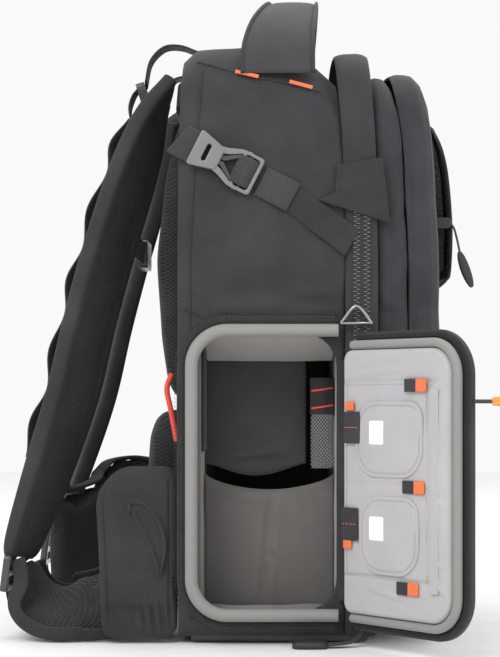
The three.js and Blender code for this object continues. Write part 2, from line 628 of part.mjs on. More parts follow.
// Red trim that runs down beside the two pads.
const TRIM = 4;
const trim = rope([
  v(BACK_X - TRIM + 1, -PAD_HALF_WIDTH - TRIM - 4, LUMBAR_HIGH - 26), v(BACK_X - TRIM - 4, -PAD_HALF_WIDTH - TRIM - 3, LUMBAR_HIGH),
  v(BACK_X - TRIM - 7, -PAD_HALF_WIDTH - TRIM - 2, BACK_PAD_LOW + 8), v(BACK_X - TRIM - 3, -PAD_HALF_WIDTH - TRIM - 4, BACK_PAD_LOW + 20),
], TRIM * 0.8, 6, false);
add('back_trim_near', trim, 'red_trim');
add('back_trim_far', mirrored(trim), 'red_trim');

// Yoke: the padded patch above the back pad that the shoulder straps are sewn to.
const YOKE_HALF = 82;
const YOKE_HIGH = BODY_HEIGHT - 26;
add('yoke', loft([[0, 0.9, 8], [0.15, 1, 11], [0.8, 1, 10], [1, 0.88, 6]].map(([at, wide, deep]) => {
  const z = BACK_PAD_HIGH + 2 + (YOKE_HIGH - BACK_PAD_HIGH - 2) * at;
  const x = backSkin(z) - GAP;
  const w = YOKE_HALF * wide;
  return [v(x, -w, z), v(x, w, z), v(x - deep * 0.7, w, z), v(x - deep, w - 5, z), v(x - deep, -w + 5, z), v(x - deep * 0.7, -w, z)];
})), 'padding_fabric');

// Shoulder straps: padded bands that leave the yoke, curve out over the shoulder and hang down
// towards the hip. across leans so that the mesh face can be seen from the side.
const STRAP_TOP = BODY_HEIGHT - 36;
const STRAP_FOOT = 76;
const strapHeight = (up) => STRAP_FOOT + (STRAP_TOP - STRAP_FOOT) * up;
const STRAP_ROWS = [
  { out: 15, side: 62, up: 1, across: [0.05, 1, 0.25], share: 0.8, thick: 0.8 },
  { out: 29, side: 78, up: 0.903, across: [0.3, 1, 0.1], share: 0.95 },
  { out: 43, side: 86, up: 0.786, across: [0.45, 1, 0], share: 1 },
  { out: 61, side: 88, up: 0.627, across: [0.5, 1, 0], share: 1 },
  { out: 75, side: 90, up: 0.484, across: [0.5, 1, 0], share: 1 },
  { out: 89, side: 92, up: 0.322, across: [0.5, 1, 0], share: 1 },
  { out: 107, side: 94, up: 0.168, across: [0.45, 1, 0], share: 0.97 },
  { out: 128, side: 97, up: 0, across: [0.4, 1, 0], share: 0.8, thick: 0.75 },
].map((row) => ({ ...row, at: [BACK_X - row.out, -row.side, strapHeight(row.up)], wide: STRAP_WIDTH * row.share }));
const STRAP_STEPS = 18;
const shoulderStrap = band(STRAP_ROWS, STRAP_THICKNESS, STRAP_STEPS, 0.28);
add('shoulder_strap_near', shoulderStrap, 'padding_fabric');
add('shoulder_strap_far', mirrored(shoulderStrap), 'padding_fabric');

// Webbing sewn down the outer face of each strap, in the ripples of a daisy chain.
const WEB_OUT = STRAP_THICKNESS / 2 + GAP + WEBBING / 2 + 0.4;
const webRows = STRAP_ROWS.slice(1, 7).flatMap((row, k, all) => {
  const here = v(...row.at);
  const next = v(...(all[k + 1] ?? STRAP_ROWS[7]).at);
  const across = v(...row.across).normalize();
  const out = next.clone().sub(here).cross(across).normalize();
  if (out.x > 0) out.negate();
  const flat = here.clone().addScaledVector(out, WEB_OUT);
  const hump = here.clone().lerp(next, 0.5).addScaledVector(out, WEB_OUT + 4);
  const rows = [{ at: flat.toArray(), across: row.across, wide: STRAP_WEB_WIDTH }];
  if (k < all.length - 1) rows.push({ at: hump.toArray(), across: row.across, wide: STRAP_WEB_WIDTH });
  return rows;
});
const strapWebbing = band(webRows, WEBBING, 20);
add('strap_webbing_near', strapWebbing, 'webbing');
add('strap_webbing_far', mirrored(strapWebbing), 'webbing');

// Adjuster at the foot of each strap and the webbing that runs from it to the pack's lower corner.
const ADJUSTER = { wide: 34, high: 30, thick: 6, lean: 0.12, x: -242, y: -106, z: 53 };
const adjusterFrame = plate(
  roundedBox(-ADJUSTER.wide / 2, ADJUSTER.wide / 2, -ADJUSTER.high / 2, ADJUSTER.high / 2, [3, 3, 3, 3], 2),
  -ADJUSTER.thick / 2, ADJUSTER.thick / 2, [
    [[-12, 3], [12, 3.1], [12, 9.5], [-12, 9.6]],
    [[-12.2, -9.5], [12.1, -9.6], [12.2, -3.2], [-12.3, -3]],
  ],
).rotateZ(Math.PI / 2).rotateY(ADJUSTER.lean).translate(ADJUSTER.x, ADJUSTER.y, ADJUSTER.z);
const FOOT_WEB = 20;
const footWebbing = band([
  { at: [-234.8, -99.6, 75], across: [0.4, 1, 0], wide: FOOT_WEB },
  { at: [-242, -106, 53], across: [0.1, 1, 0], wide: FOOT_WEB },
  { at: [-240, -100, 26], across: [0, 1, 0.1], wide: FOOT_WEB },
  { at: [-224, -84, 7], across: [0.2, 1, 0], wide: FOOT_WEB },
  { at: [-190, -74, 3], across: [0, 1, 0], wide: FOOT_WEB },
  { at: [-150, -84, 3], across: [0, 1, 0], wide: FOOT_WEB },
  { at: [-112, -100, 7], across: [0, 1, 0], wide: FOOT_WEB },
], WEBBING, 22);
const strapFoot = join(adjusterFrame, footWebbing);
add('strap_adjuster_near', strapFoot, 'buckle');
add('strap_adjuster_far', mirrored(strapFoot), 'buckle');

// Load lifters: webbing from the pack's top down to a buckle on each strap.
const LIFTER_WIDTH = 22;
const LIFTER_ROWS = [
  { forward: 25, side: 66, below: 4.3, tilt: 0.1 }, { forward: 13, side: 66, below: 4.9, tilt: 0.1 },
  { forward: -2, side: 67, below: 0 },
  { forward: -16, side: 68, below: 1 }, { forward: -27, side: 71, below: 13 }, { forward: -31, side: 74, below: 32 },
];
const lifterRow = ({ forward, side, below, tilt = 0 }) => ({
  at: [BACK_X + forward, -side, BODY_HEIGHT - below], across: [0, 1, tilt], wide: LIFTER_WIDTH,
});
const LIFTER_BUCKLE = { wide: 28, high: 20, thick: 7, turn: 0.3, out: 32.4, side: 75, below: 42 };
const lifterBuckle = plate(
  roundedBox(
    -LIFTER_BUCKLE.high / 2, LIFTER_BUCKLE.high / 2, -LIFTER_BUCKLE.wide / 2, LIFTER_BUCKLE.wide / 2, [3, 3, 3, 3], 2,
  ),
  -LIFTER_BUCKLE.thick / 2, LIFTER_BUCKLE.thick / 2,
).rotateZ(Math.PI / 2).rotateY(LIFTER_BUCKLE.turn)
  .translate(BACK_X - LIFTER_BUCKLE.out, -LIFTER_BUCKLE.side, BODY_HEIGHT - LIFTER_BUCKLE.below);
const lifter = join(band(LIFTER_ROWS.map(lifterRow), WEBBING, 10), lifterBuckle);
add('load_lifter_near', lifter, 'webbing');
add('load_lifter_far', mirrored(lifter), 'webbing');

// Sternum strap: webbing between the two shoulder straps with its clip in the middle.
const STERNUM_Z = strapHeight(0.665);
const sternum = join(
  band([
    { at: [-146.4, -58.6, STERNUM_Z], across: [0, 0, 1], wide: 20 }, { at: [-140, -20, STERNUM_Z - 6], across: [0, 0, 1], wide: 20 },
    { at: [-140, 20, STERNUM_Z - 6], across: [0, 0, 1], wide: 20 }, { at: [-146.4, 58.6, STERNUM_Z], across: [0, 0, 1], wide: 20 },
  ], WEBBING, 8),
  plate(roundedBox(-5, 5, STERNUM_Z - 19, STERNUM_Z + 7, [2, 2, 2, 2], 2), -22, 22).translate(-140, 0, 0),
);
add('sternum_strap', sternum, 'buckle');

// Hip belt: a flat panel at each lower corner, and a padded wing that curls away from it.
const HIP_TOP = 139;
const HIP_LEFT = -166;
const hipPanel = loft([
  { at: 0, wide: 0.9, out: 0 }, { at: 0.06, wide: 1, out: 0 }, { at: 0.28, wide: 1.04, out: 1.5 },
  { at: 0.55, wide: 0.97, out: 2 }, { at: 0.9, wide: 0.95, out: 0.5 }, { at: 1, wide: 0.82, out: 0 },
].map(({ at, wide, out }) => {
  const z = 4 + (HIP_TOP - 4) * at;
  const right = BACK_X - GAP;
  const left = right + (HIP_LEFT - right) * wide;
  const y = -BODY_HALF_WIDTH + 14 - out;
  const t = HIP_PANEL_THICKNESS;
  return [v(left, y - t * 0.5, z), v(left + 5, y - t, z), v(right - 2, y - t, z), v(right, y - t * 0.5, z), v(right, y, z), v(left + 2, y, z)];
}));
add('hip_panel_near', hipPanel, 'padding_fabric');
add('hip_panel_far', mirrored(hipPanel), 'padding_fabric');

// The near wing is twisted over, so that its mesh lining lies upwards like a scoop, and its end
// curls up under the strap's foot.
add('hip_wing_near', band([
  { at: [-121, -123, 44], across: [0.1, 0.2, 1], wide: 58 },
  { at: [-149, -108, 36], across: [0, 0.7, 0.8], wide: 74 },
  { at: [-176, -98, 27], across: [0, 1, 0.5], wide: 88 },
  { at: [-202, -95, 25], across: [0, 1, 0.4], wide: 92 },
  { at: [-220, -88, 35], across: [0, 1, 0.3], wide: 82 },
  { at: [-230, -84, 60], across: [0, 1, 0.15], wide: 64 },
], HIP_WING_THICKNESS, 16, 0.3), 'padding_fabric');

// The far wing keeps its upright curve round the hip and turns in at its end.
add('hip_wing_far', band([
  { at: [-121, 113.2, 82], across: [0, 0, 1], wide: 96 },
  { at: [-152, 124, 80], across: [0, 0, 1], wide: 116 },
  { at: [-176, 118, 78], across: [0, 0, 1], wide: 116 },
  { at: [-188, 94, 72], across: [0, 0, 1], wide: 110 },
  { at: [-194, 66, 66], across: [0, 0, 1], wide: 104 },
  { at: [-212, 38, 62], across: [0, 0, 1], wide: 100 },
  { at: [-226, 12, 60], across: [0, 0, 1], wide: 96 },
], HIP_WING_THICKNESS, 18, 0.3), 'padding_fabric');
const HIP_BUCKLE = { wide: 36, high: 26, thick: 8, x: -216, y: 30, z: 126.6 };
add('hip_buckle', plate(
  roundedBox(
    -HIP_BUCKLE.wide / 2, HIP_BUCKLE.wide / 2, -HIP_BUCKLE.high / 2, HIP_BUCKLE.high / 2, [4, 4, 4, 4], 2,
  ),
  -HIP_BUCKLE.thick / 2, HIP_BUCKLE.thick / 2, [[[-11, 1.5], [11, 1.5], [11, 6], [-11, 6]]],
).rotateZ(Math.PI / 2).translate(HIP_BUCKLE.x, HIP_BUCKLE.y, HIP_BUCKLE.z), 'buckle');

// Top handle: a padded loop across the top that is sewn down on both shoulders.
const handleRow = (angle) => {
  const a = THREE.MathUtils.degToRad(angle);
  const r = SHOULDER_RADIUS + HANDLE_THICKNESS * 0.4 + 0.6;
  return {
    at: [HANDLE_X, -BODY_HALF_WIDTH + SHOULDER_RADIUS + r * Math.cos(a), BODY_HEIGHT - CROWN - SHOULDER_RADIUS + r * Math.sin(a)],
    across: [1, 0, 0], wide: HANDLE_WIDTH * 1.12, thick: 0.6,
  };
};
const handleTop = BODY_HEIGHT + HANDLE_RISE - HANDLE_THICKNESS / 2;
const handleHalf = [
  handleRow(150), handleRow(118),
  { at: [HANDLE_X, -96, BODY_HEIGHT + 6], across: [1, 0, 0], wide: HANDLE_WIDTH * 1.04, thick: 0.8 },
  { at: [HANDLE_X, -64, BODY_HEIGHT + 25], across: [1, 0, 0], wide: HANDLE_WIDTH },
];
const flipRow = (row) => ({ ...row, at: [row.at[0], -row.at[1], row.at[2]] });
add('top_handle', band([
  ...handleHalf, { at: [HANDLE_X, 0, handleTop], across: [1, 0, 0], wide: HANDLE_WIDTH * 0.94 },
  ...handleHalf.map(flipRow).reverse(),
], HANDLE_THICKNESS, 26, 0.3), 'padding_fabric');

// Orange bar tabs sewn on the near shoulder, at the height of the top seam.
const SEAM_TABS = [
  { name: 'seam_tab_back', forward: 54, below: 35 },
  { name: 'seam_tab_front', forward: 96, below: 45 },
];
const SEAM_TAB = { long: 18, thick: 1.6, high: 3, turn: 0.12 };
function crestAt(x) {
  const at = (x - BACK_X) / (SHELL_FRONT_X - BACK_X);
  const next = Math.max(1, SHELL_SECTIONS.findIndex((row) => row.at >= at));
  const [a, b] = [SHELL_SECTIONS[next - 1], SHELL_SECTIONS[next]];
  return BODY_HEIGHT * (a.crest + ((b.crest - a.crest) * (at - a.at)) / (b.at - a.at));
}
for (const { name, forward, below } of SEAM_TABS) {
  const x = BACK_X + forward;
  const centreZ = crestAt(x) - CROWN - SHOULDER_RADIUS;
  const a = Math.asin((BODY_HEIGHT - below - centreZ) / SHOULDER_RADIUS);
  const r = SHOULDER_RADIUS + GAP + SEAM_TAB.thick * 0.75;
  const y = -BODY_HALF_WIDTH + SHOULDER_RADIUS - r * Math.cos(a);
  const bar = new THREE.BoxGeometry(SEAM_TAB.long, SEAM_TAB.thick, SEAM_TAB.high);
  add(name, bar.rotateX(-a).rotateY(SEAM_TAB.turn).translate(x, y, centreZ + r * Math.sin(a)), 'orange');
}

// Side compression strap: webbing from the back seam, the buckle and the two-legged fabric wing.
const BUCKLE_X = -64;
const BUCKLE_Z = BODY_HEIGHT - 108;
const BUCKLE_TILT = THREE.MathUtils.degToRad(27);
const BUCKLE_THICKNESS = 6;
const buckleOutline = [
  [-29, -15], [-14, -10], [-3, -10], [9, -15], [23, -15], [25, -13], [25, 13], [23, 15],
  [9, 15], [-3, 10], [-14, 10], [-29, 15],
];
const tilted = (geometry) => geometry.rotateY(BUCKLE_TILT).translate(BUCKLE_X, 0, BUCKLE_Z);
add('side_buckle', tilted(plate(buckleOutline, SIDE_SKIN - BUCKLE_THICKNESS, SIDE_SKIN, [
  [[-8, 0.2], [4, -8], [4, 8.3]], [[8, -9.6], [12, -9.4], [12, 9.5], [8, 9.3]], [[17, -11.2], [21, -11], [21, 11.3], [17, 11.1]],
])), 'buckle');
add('side_strap', tilted(plate([[-47, -13], [-29.4 - GAP, -13], [-29.4 - GAP, 13], [-40, 13]], SIDE_SKIN - WEBBING, SIDE_SKIN)), 'webbing');
const WING = [
  { x: 27, z: -3 }, { x: 56, z: -15 }, { x: 85, z: -1 }, { x: 118, z: 5 }, { x: 122, z: -44 },
  { x: 70, z: -28 }, { x: 104, z: -52 }, { x: 91, z: -72 }, { x: 48, z: -40 }, { x: 18, z: -25 },
].map(({ x, z }) => [BUCKLE_X + x, BUCKLE_Z + z]);
add('side_wing_near', plate(WING, SIDE_SKIN - WEBBING, SIDE_SKIN), 'webbing');
add('side_wing_far', mirrored(plate(WING, SIDE_SKIN - WEBBING, SIDE_SKIN)), 'webbing');

// Zip slider with its cord and soft pull, on the front pocket's near edge.
const PULL_HEIGHT = BODY_HEIGHT - 148;
const PULL_SIDE = 98;
const SLIDER = { deep: 13, wide: 5, high: 9 };
const pullFace = frontFace(PULL_HEIGHT) + GAP;
const pullRope = (rows, radius, sides) => rope(
  rows.map(({ out, side, below }) => v(pullFace + out, -PULL_SIDE - side, PULL_HEIGHT - below)), radius, sides, false,
);
add('front_zip_pull', join(
  new THREE.BoxGeometry(SLIDER.deep, SLIDER.wide, SLIDER.high).translate(pullFace + SLIDER.deep / 2, -PULL_SIDE, PULL_HEIGHT),
  pullRope([{ out: 13, side: 0, below: -2 }, { out: 16, side: 1, below: 12 }, { out: 20, side: 2, below: 26 }], 1.2, 6),
  pullRope([{ out: 19.5, side: 2, below: 25 }, { out: 24, side: 2, below: 42 }, { out: 30, side: 2, below: 55 }], 3.2, 8),
), 'buckle');

// Tripod strap: webbing with a soft pull that comes out under the front.
add('tripod_strap', join(
  band([
    { at: [41, -153.8, 26], across: [1, 0, 0], wide: 14 }, { at: [41, -155.5, 15], across: [1, -0.2, 0], wide: 16 },
    { at: [34, -160, 5], across: [0.8, -0.8, 0], wide: 18 }, { at: [20, -163, 2.2], across: [0.2, -1, 0], wide: 18 },
    { at: [8, -164, 2.2], across: [0, -1, 0], wide: 18 },
  ], WEBBING, 12),
  plate(roundedBox(-14, 14, -9, 9, [6, 6, 6, 6], 3), -2.5, 2.5).rotateX(Math.PI / 2).translate(0, -164, 2.8),
), 'webbing');

export default bag;
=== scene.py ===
import math

import bmesh
import bpy
import numpy as np
from mathutils.bvhtree import BVHTree
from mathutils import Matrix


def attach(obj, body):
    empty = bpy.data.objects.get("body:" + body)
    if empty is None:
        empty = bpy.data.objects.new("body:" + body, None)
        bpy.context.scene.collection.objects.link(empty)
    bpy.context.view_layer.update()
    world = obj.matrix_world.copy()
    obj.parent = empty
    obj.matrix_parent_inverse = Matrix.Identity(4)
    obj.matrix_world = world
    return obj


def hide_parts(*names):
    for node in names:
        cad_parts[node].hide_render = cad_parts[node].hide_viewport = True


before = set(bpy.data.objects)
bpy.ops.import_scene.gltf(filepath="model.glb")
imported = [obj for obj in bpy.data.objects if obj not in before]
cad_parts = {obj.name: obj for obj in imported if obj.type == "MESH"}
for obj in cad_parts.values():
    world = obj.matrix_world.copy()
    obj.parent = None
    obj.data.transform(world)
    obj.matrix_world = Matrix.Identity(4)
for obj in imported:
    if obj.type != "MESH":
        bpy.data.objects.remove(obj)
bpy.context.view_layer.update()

MM = 0.001

# View of the photograph: the near side is seen square-on, from a little below its middle.
NEAR_SIDE_Y = -0.150
VIEW_DISTANCE = 1.30
VIEW_X = -0.0156
VIEW_Z = 0.191
FRAME_SIZE = (500, 657)
FOCAL_PIXELS = 1671.0
VIEW_CENTRE_PIXEL = (290, 400)
SENSOR = 36.0


def make_camera():
    """Places the camera level, with the shift that the photograph's framing needs."""
    camera = bpy.data.cameras.new("camera")
    camera.sensor_fit = "VERTICAL"
    camera.sensor_height = SENSOR
    camera.lens = FOCAL_PIXELS / FRAME_SIZE[1] * SENSOR
    camera.shift_x = (FRAME_SIZE[0] / 2 - VIEW_CENTRE_PIXEL[0]) / FRAME_SIZE[1]
    camera.shift_y = (VIEW_CENTRE_PIXEL[1] - FRAME_SIZE[1] / 2) / FRAME_SIZE[1]
    camera.clip_start = 0.05
    holder = bpy.data.objects.new("camera", camera)
    holder.location = (VIEW_X, NEAR_SIDE_Y - VIEW_DISTANCE, VIEW_Z)
    holder.rotation_euler = (math.pi / 2, 0, 0)
    bpy.context.scene.collection.objects.link(holder)
    bpy.context.scene.camera = holder


def make_light(name, place, size, power, aim=(0, 0, 0.25)):
    """A soft square lamp that faces a point."""
    lamp = bpy.data.lights.new(name, "AREA")
    lamp.shape = "DISK"
    lamp.size = size
    lamp.energy = power
    holder = bpy.data.objects.new(name, lamp)
    holder.location = place
    away = np.array(place, float) - np.array(aim, float)
    yaw = math.atan2(away[1], away[0]) + math.pi / 2
    pitch = math.atan2(math.hypot(away[0], away[1]), away[2])
    holder.rotation_euler = (pitch, 0, yaw)
    bpy.context.scene.collection.objects.link(holder)


# Mesh tools: arrays in, one finished piece out.
def link_mesh(name, points, faces, uv=None):
    """Builds a smooth-shaded mesh object from points in millimetres, faces and, where given, UVs."""
    mesh = bpy.data.meshes.new(name)
    mesh.from_pydata((np.asarray(points, float) * MM).tolist(), [], [list(map(int, f)) for f in faces])
    if uv is not None:
        layer = mesh.uv_layers.new(name="cloth")
        loops = np.zeros(len(mesh.loops), int)
        mesh.loops.foreach_get("vertex_index", loops)
        layer.data.foreach_set("uv", np.asarray(uv, float)[loops].ravel())
    mesh.polygons.foreach_set("use_smooth", np.ones(len(mesh.polygons), bool))
    piece = bpy.data.objects.new(name, mesh)
    bpy.context.scene.collection.objects.link(piece)
    return piece


def tidy(piece, merge=0.02, outward=True):
    """Merges points closer than merge, in millimetres, and turns a closed form's faces outwards."""
    work = bmesh.new()
    work.from_mesh(piece.data)
    bmesh.ops.remove_doubles(work, verts=work.verts, dist=merge * MM)
    bmesh.ops.dissolve_degenerate(work, edges=work.edges, dist=merge * MM / 4)
    if outward:
        bmesh.ops.recalc_face_normals(work, faces=work.faces)
    work.to_mesh(piece.data)
    work.free()
    return piece


def finish_piece(piece, material, nodes=()):
    """Gives a piece its material, lets it ride on the pack and hides the nodes it stands for."""
    for item in material if isinstance(material, (list, tuple)) else [material]:
        piece.data.materials.append(item)
    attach(piece, "root")
    if nodes:
        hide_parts(*nodes)
    return piece


def grid_faces(rows, columns, wrap_columns=False, wrap_rows=False, start=0):
    """Quads of a grid of points stored row by row."""
    r = np.arange(rows if wrap_rows else rows - 1)
    c = np.arange(columns if wrap_columns else columns - 1)
    a, b = np.meshgrid(r, c, indexing="ij")
    a, b = a.ravel(), b.ravel()
    a1, b1 = (a + 1) % rows, (b + 1) % columns
    return start + np.stack([a * columns + b, a * columns + b1, a1 * columns + b1, a1 * columns + b], 1)


def smooth_path(points, count):
    """A Catmull-Rom curve through the points, sampled evenly by length."""
    p = np.asarray(points, float)
    ends = np.vstack([2 * p[0] - p[1], p, 2 * p[-1] - p[-2]])
    t = np.linspace(0, len(p) - 1 - 1e-9, max(count * 6, 40))
    k = t.astype(int)
    f = (t - k)[:, None]
    a, b, c, d = ends[k], ends[k + 1], ends[k + 2], ends[k + 3]
    curve = 0.5 * (2 * b + (c - a) * f + (2 * a - 5 * b + 4 * c - d) * f**2 + (3 * b - a - 3 * c + d) * f**3)
    length = np.concatenate([[0], np.cumsum(np.linalg.norm(np.diff(curve, axis=0), axis=1))])
    even = np.linspace(0, length[-1], count)
    return np.stack([np.interp(even, length, curve[:, k]) for k in range(p.shape[1])], 1)


def unit(vectors):
    return vectors / np.maximum(np.linalg.norm(vectors, axis=-1, keepdims=True), 1e-12)


def sweep(path, across, profile, closed=False, caps=True):
    """Carries a closed profile along a path.

    profile[row, k] holds (a, b): the point is path + a * side + b * normal, where side is the given
    direction made square to the path and normal is path direction x side.
    """
    path = np.asarray(path, float)
    along = unit(np.gradient(path, axis=0))
    if closed:
        along = unit(np.roll(path, -1, 0) - np.roll(path, 1, 0))
    normal = unit(np.cross(along, np.broadcast_to(across, path.shape)))
    side = np.cross(normal, along)
    a, b = profile[..., 0][..., None], profile[..., 1][..., None]
    points = path[:, None] + a * side[:, None] + b * normal[:, None]
    rows, columns = points.shape[:2]
    faces = [grid_faces(rows, columns, True, closed)]
    points = points.reshape(-1, 3)
    if caps and not closed:
        points = np.vstack([points, path[0], path[-1]])
        k = np.arange(columns)
        first = np.stack([(k + 1) % columns, k, np.full(columns, rows * columns)], 1)
        last = np.stack([k, (k + 1) % columns, np.full(columns, rows * columns + 1)], 1)
        last[:, :2] += (rows - 1) * columns
        faces = [faces[0], first, last]
    return points, [f for block in faces for f in block]


def round_profile(radius, sides, rows=1):
    """A circle of the given radius, one copy a row."""
    a = np.linspace(0, 2 * np.pi, sides, endpoint=False)
    ring = np.stack([np.cos(a), np.sin(a)], 1)
    return np.asarray(radius, float).reshape(-1, 1, 1) * np.broadcast_to(ring, (rows, sides, 2))


def strap_profile(width, thickness, sides=24, squareness=5.0, crown=0.0):
    """A flat section with soft edges: the superellipse |a/w|^p + |b/t|^p = 1, with a raised middle."""
    t = np.linspace(0, 2 * np.pi, sides, endpoint=False)
    c, s = np.cos(t), np.sin(t)
    a = np.sign(c) * np.abs(c) ** (2 / squareness)
    b = np.sign(s) * np.abs(s) ** (2 / squareness)
    w = np.asarray(width, float).reshape(-1, 1)
    h = np.asarray(thickness, float).reshape(-1, 1)
    bulge = 1 + crown * (1 - a**2)
    return np.stack([0.5 * w * a, 0.5 * h * b * bulge], -1)


def rope_piece(name, points, radius, sides, count, closed=False, lead=(0.1, 1, 0.05)):
    """A round rope along a smooth path."""
    path = smooth_path(points, count) if count else np.asarray(points, float)
    verts, faces = sweep(path, lead, round_profile(np.full(len(path), radius), sides, len(path)), closed)
    return link_mesh(name, verts, faces)


def rounded_outline(x0, x1, z0, z1, radii, count):
    """A rounded rectangle sampled evenly by length; the radii run from low left, against the clock."""
    corners = [(x0, z0, 1, 1, 180), (x1, z0, -1, 1, 270), (x1, z1, -1, -1, 0), (x0, z1, 1, -1, 90)]
    points = []
    for (x, z, sx, sz, start), r in zip(corners, radii):
        a = np.radians(np.linspace(start, start + 90, 24))
        points.append(np.stack([x + sx * r + r * np.cos(a), z + sz * r + r * np.sin(a)], 1))
    ring = np.vstack(points + [points[0][:1]])
    length = np.concatenate([[0], np.cumsum(np.linalg.norm(np.diff(ring, axis=0), axis=1))])
    even = np.linspace(0, length[-1], count, endpoint=False)
    return np.stack([np.interp(even, length, ring[:, k]) for k in range(2)], 1)


def pillow(outline, thickness, edge, rings=14, puff=0.0, relief=None, to_world=None):
    """A plate with soft edges over a star-shaped outline.

    Each ring is the outline drawn in towards its centre. The front rises over the edge as a quarter
    circle, then by puff times one minus the square of the share of the way out; relief adds a height
    of its own for each point (x, z). The back is flat.
    """
    centre = outline.mean(0)
    reach = np.linalg.norm(outline - centre, axis=1).min()
    inset = edge / reach
    bend = np.linspace(0, np.pi / 2, 5)
    shares = np.concatenate([1 - inset * (1 - np.cos(bend)), np.linspace(1 - inset, 0, rings)[1:]])
    height = np.concatenate([edge * np.sin(bend), np.full(rings - 1, edge)]) + (thickness - edge)
    flat = centre + (outline - centre)[None] * shares[:, None, None]
    rise = height[:, None] + puff * (1 - shares[:, None] ** 2)
    rise = np.broadcast_to(rise, flat.shape[:2]).copy()
    if relief is not None:
        rise += relief(flat[..., 0], flat[..., 1]) * np.clip((1 - shares) / inset, 0, 1)[:, None]
    front = np.concatenate([flat, rise[..., None]], -1)
    back = np.concatenate([outline[None] + (centre - outline)[None] * np.array([0, 0.5, 1])[:, None, None],
                           np.zeros((3, len(outline), 1))], -1)
    rows = np.concatenate([back[::-1], front])
    verts = rows.reshape(-1, 3)
    if to_world is not None:
        verts = to_world(verts)
    return verts, grid_faces(len(rows), len(outline), True), rows.reshape(-1, 3)[:, :2]


# The body: the same hoops, seams and sections as the CAD solids, in millimetres, with many more points.
BODY_HEIGHT = 482.0
BODY_HALF_WIDTH = 150.0
GUSSET_HEIGHT = 474.0
GUSSET_PROUD = 2.0
BASE_RISE = 5.4
POCKET_FLOOR = 16.0
SHOULDER_RADIUS = 42.0
BASE_RADIUS = 16.0
CROWN = 8.0
SIDE_BULGE = 4.0
BULGE_LOW = 262.0
LEAN_Z = (0.0, 300.0, 395.0, 482.0)
LEAN_SHARE = (0.0, 0.0, 0.22, 1.0)
SHELL_WALL = 9.0
SHELL_SECTIONS = np.array([  # at, half, crest
    (0, 0.975, 0.975), (0.09, 1, 0.992), (0.5, 1, 1), (0.85, 1, 0.97), (1, 0.985, 0.935)])
GUSSET_SECTIONS = np.array([  # at, swell
    (0, -1.2), (0.12, 0.3), (0.3, 1.1), (0.7, 1.1), (0.88, 0.3), (1, -1.2)])
DISH_SECTIONS = np.array([  # at, pull in walls
    (0, 0.6), (0.25, 0), (0.5, 0.15), (0.7, 0.6), (0.92, 3.2), (1, 7)])


def lean_share(z):
    """How far the leaning seams have gone at height z, from 0 to 1, eased over each bend."""
    return np.mean([np.interp(z + d, LEAN_Z, LEAN_SHARE) for d in (-14, -7, 0, 7, 14)], axis=0)


def seam(x, lean):
    """A seam of the body that starts at x and leans back by lean at the top."""
    return lambda z: x - lean * lean_share(z)


back_seam = seam(-103, -4)
shell_front = seam(27, 10)
gusset_back = seam(27.4, 10)
gusset_front = seam(53, 9)
middle_back = seam(53.4, 9)
middle_front = seam(78, 20)
front_back = seam(77.6, 20)
front_face = seam(103, 20)


def between(a, b, share):
    return lambda z: a(z) + (b(z) - a(z)) * share


def hoop(half, low, high, inset, x_at, count, bulge=SIDE_BULGE):
    """A closed ring round the body, evenly spaced by length from the middle of the base.

    Half a ring is a floor, a corner arc, a side that swells above the opening, a shoulder arc and a
    low crown; the other half is its mirror image. x_at gives the ring's x at each height.
    """
    w, bottom, top = half - inset, low + inset, high - inset
    rs, rb = max(SHOULDER_RADIUS - inset, 2), max(BASE_RADIUS - inset, 2)
    shoulder = top - CROWN - rs
    corner = np.radians(np.linspace(270, 180, 12))
    arc = np.radians(np.linspace(180, 90, 24))
    z = np.linspace(bottom + rb, shoulder, 60)[1:-1]
    rise = np.clip((z - BULGE_LOW) / 40, 0, 1) * np.clip((shoulder - z) / 38, 0, 1)
    swell = bulge * rise * rise * (3 - 2 * rise)
    crown = np.linspace(0, 1, 12)[1:]
    y = np.concatenate([[0], -w + rb + rb * np.cos(corner), -w - swell, -w + rs + rs * np.cos(arc),
                        (-w + rs) * (1 - crown)])
    zz = np.concatenate([[bottom], bottom + rb + rb * np.sin(corner), z, shoulder + rs * np.sin(arc),
                         top - CROWN * (1 - crown) ** 2])
    half_ring = np.stack([y, zz], 1)
    length = np.concatenate([[0], np.cumsum(np.linalg.norm(np.diff(half_ring, axis=0), axis=1))])
    even = np.linspace(0, length[-1], count // 2 + 1)
    near = np.stack([np.interp(even, length, half_ring[:, k]) for k in range(2)], 1)
    ring = np.vstack([near, near[-2:0:-1] * (-1, 1)])
    return np.stack([x_at(ring[:, 1]), ring[:, 0], ring[:, 1]], 1)


def ripple(points, wavelength, seed, waves=10):
    """Soft unevenness from -1 to 1: a sum of seeded sine waves in random directions."""
    rng = np.random.default_rng(seed)
    way = unit(rng.normal(size=(waves, 3))) * (2 * np.pi / wavelength) * rng.uniform(0.6, 1.5, (waves, 1))
    phase = rng.uniform(0, 2 * np.pi, waves)
    return np.sin(points @ way.T + phase).sum(-1) / math.sqrt(waves) / 1.6


def crease(x, z, a, b, width, height):
    """A fold from a to b: a ridge with a shallow valley on each side, which fades at both ends."""
    a, b = np.array(a, float), np.array(b, float)
    run = b - a
    share = ((x - a[0]) * run[0] + (z - a[1]) * run[1]) / (run @ run)
    off = ((x - a[0]) * -run[1] + (z - a[1]) * run[0]) / np.linalg.norm(run) / width
    fade = np.exp(-np.clip(np.abs(share - 0.5) - 0.32, 0, None) ** 2 / 0.02)
    return height * fade * (np.exp(-off**2) - 0.55 * np.exp(-(np.abs(off) - 1.7) ** 2))


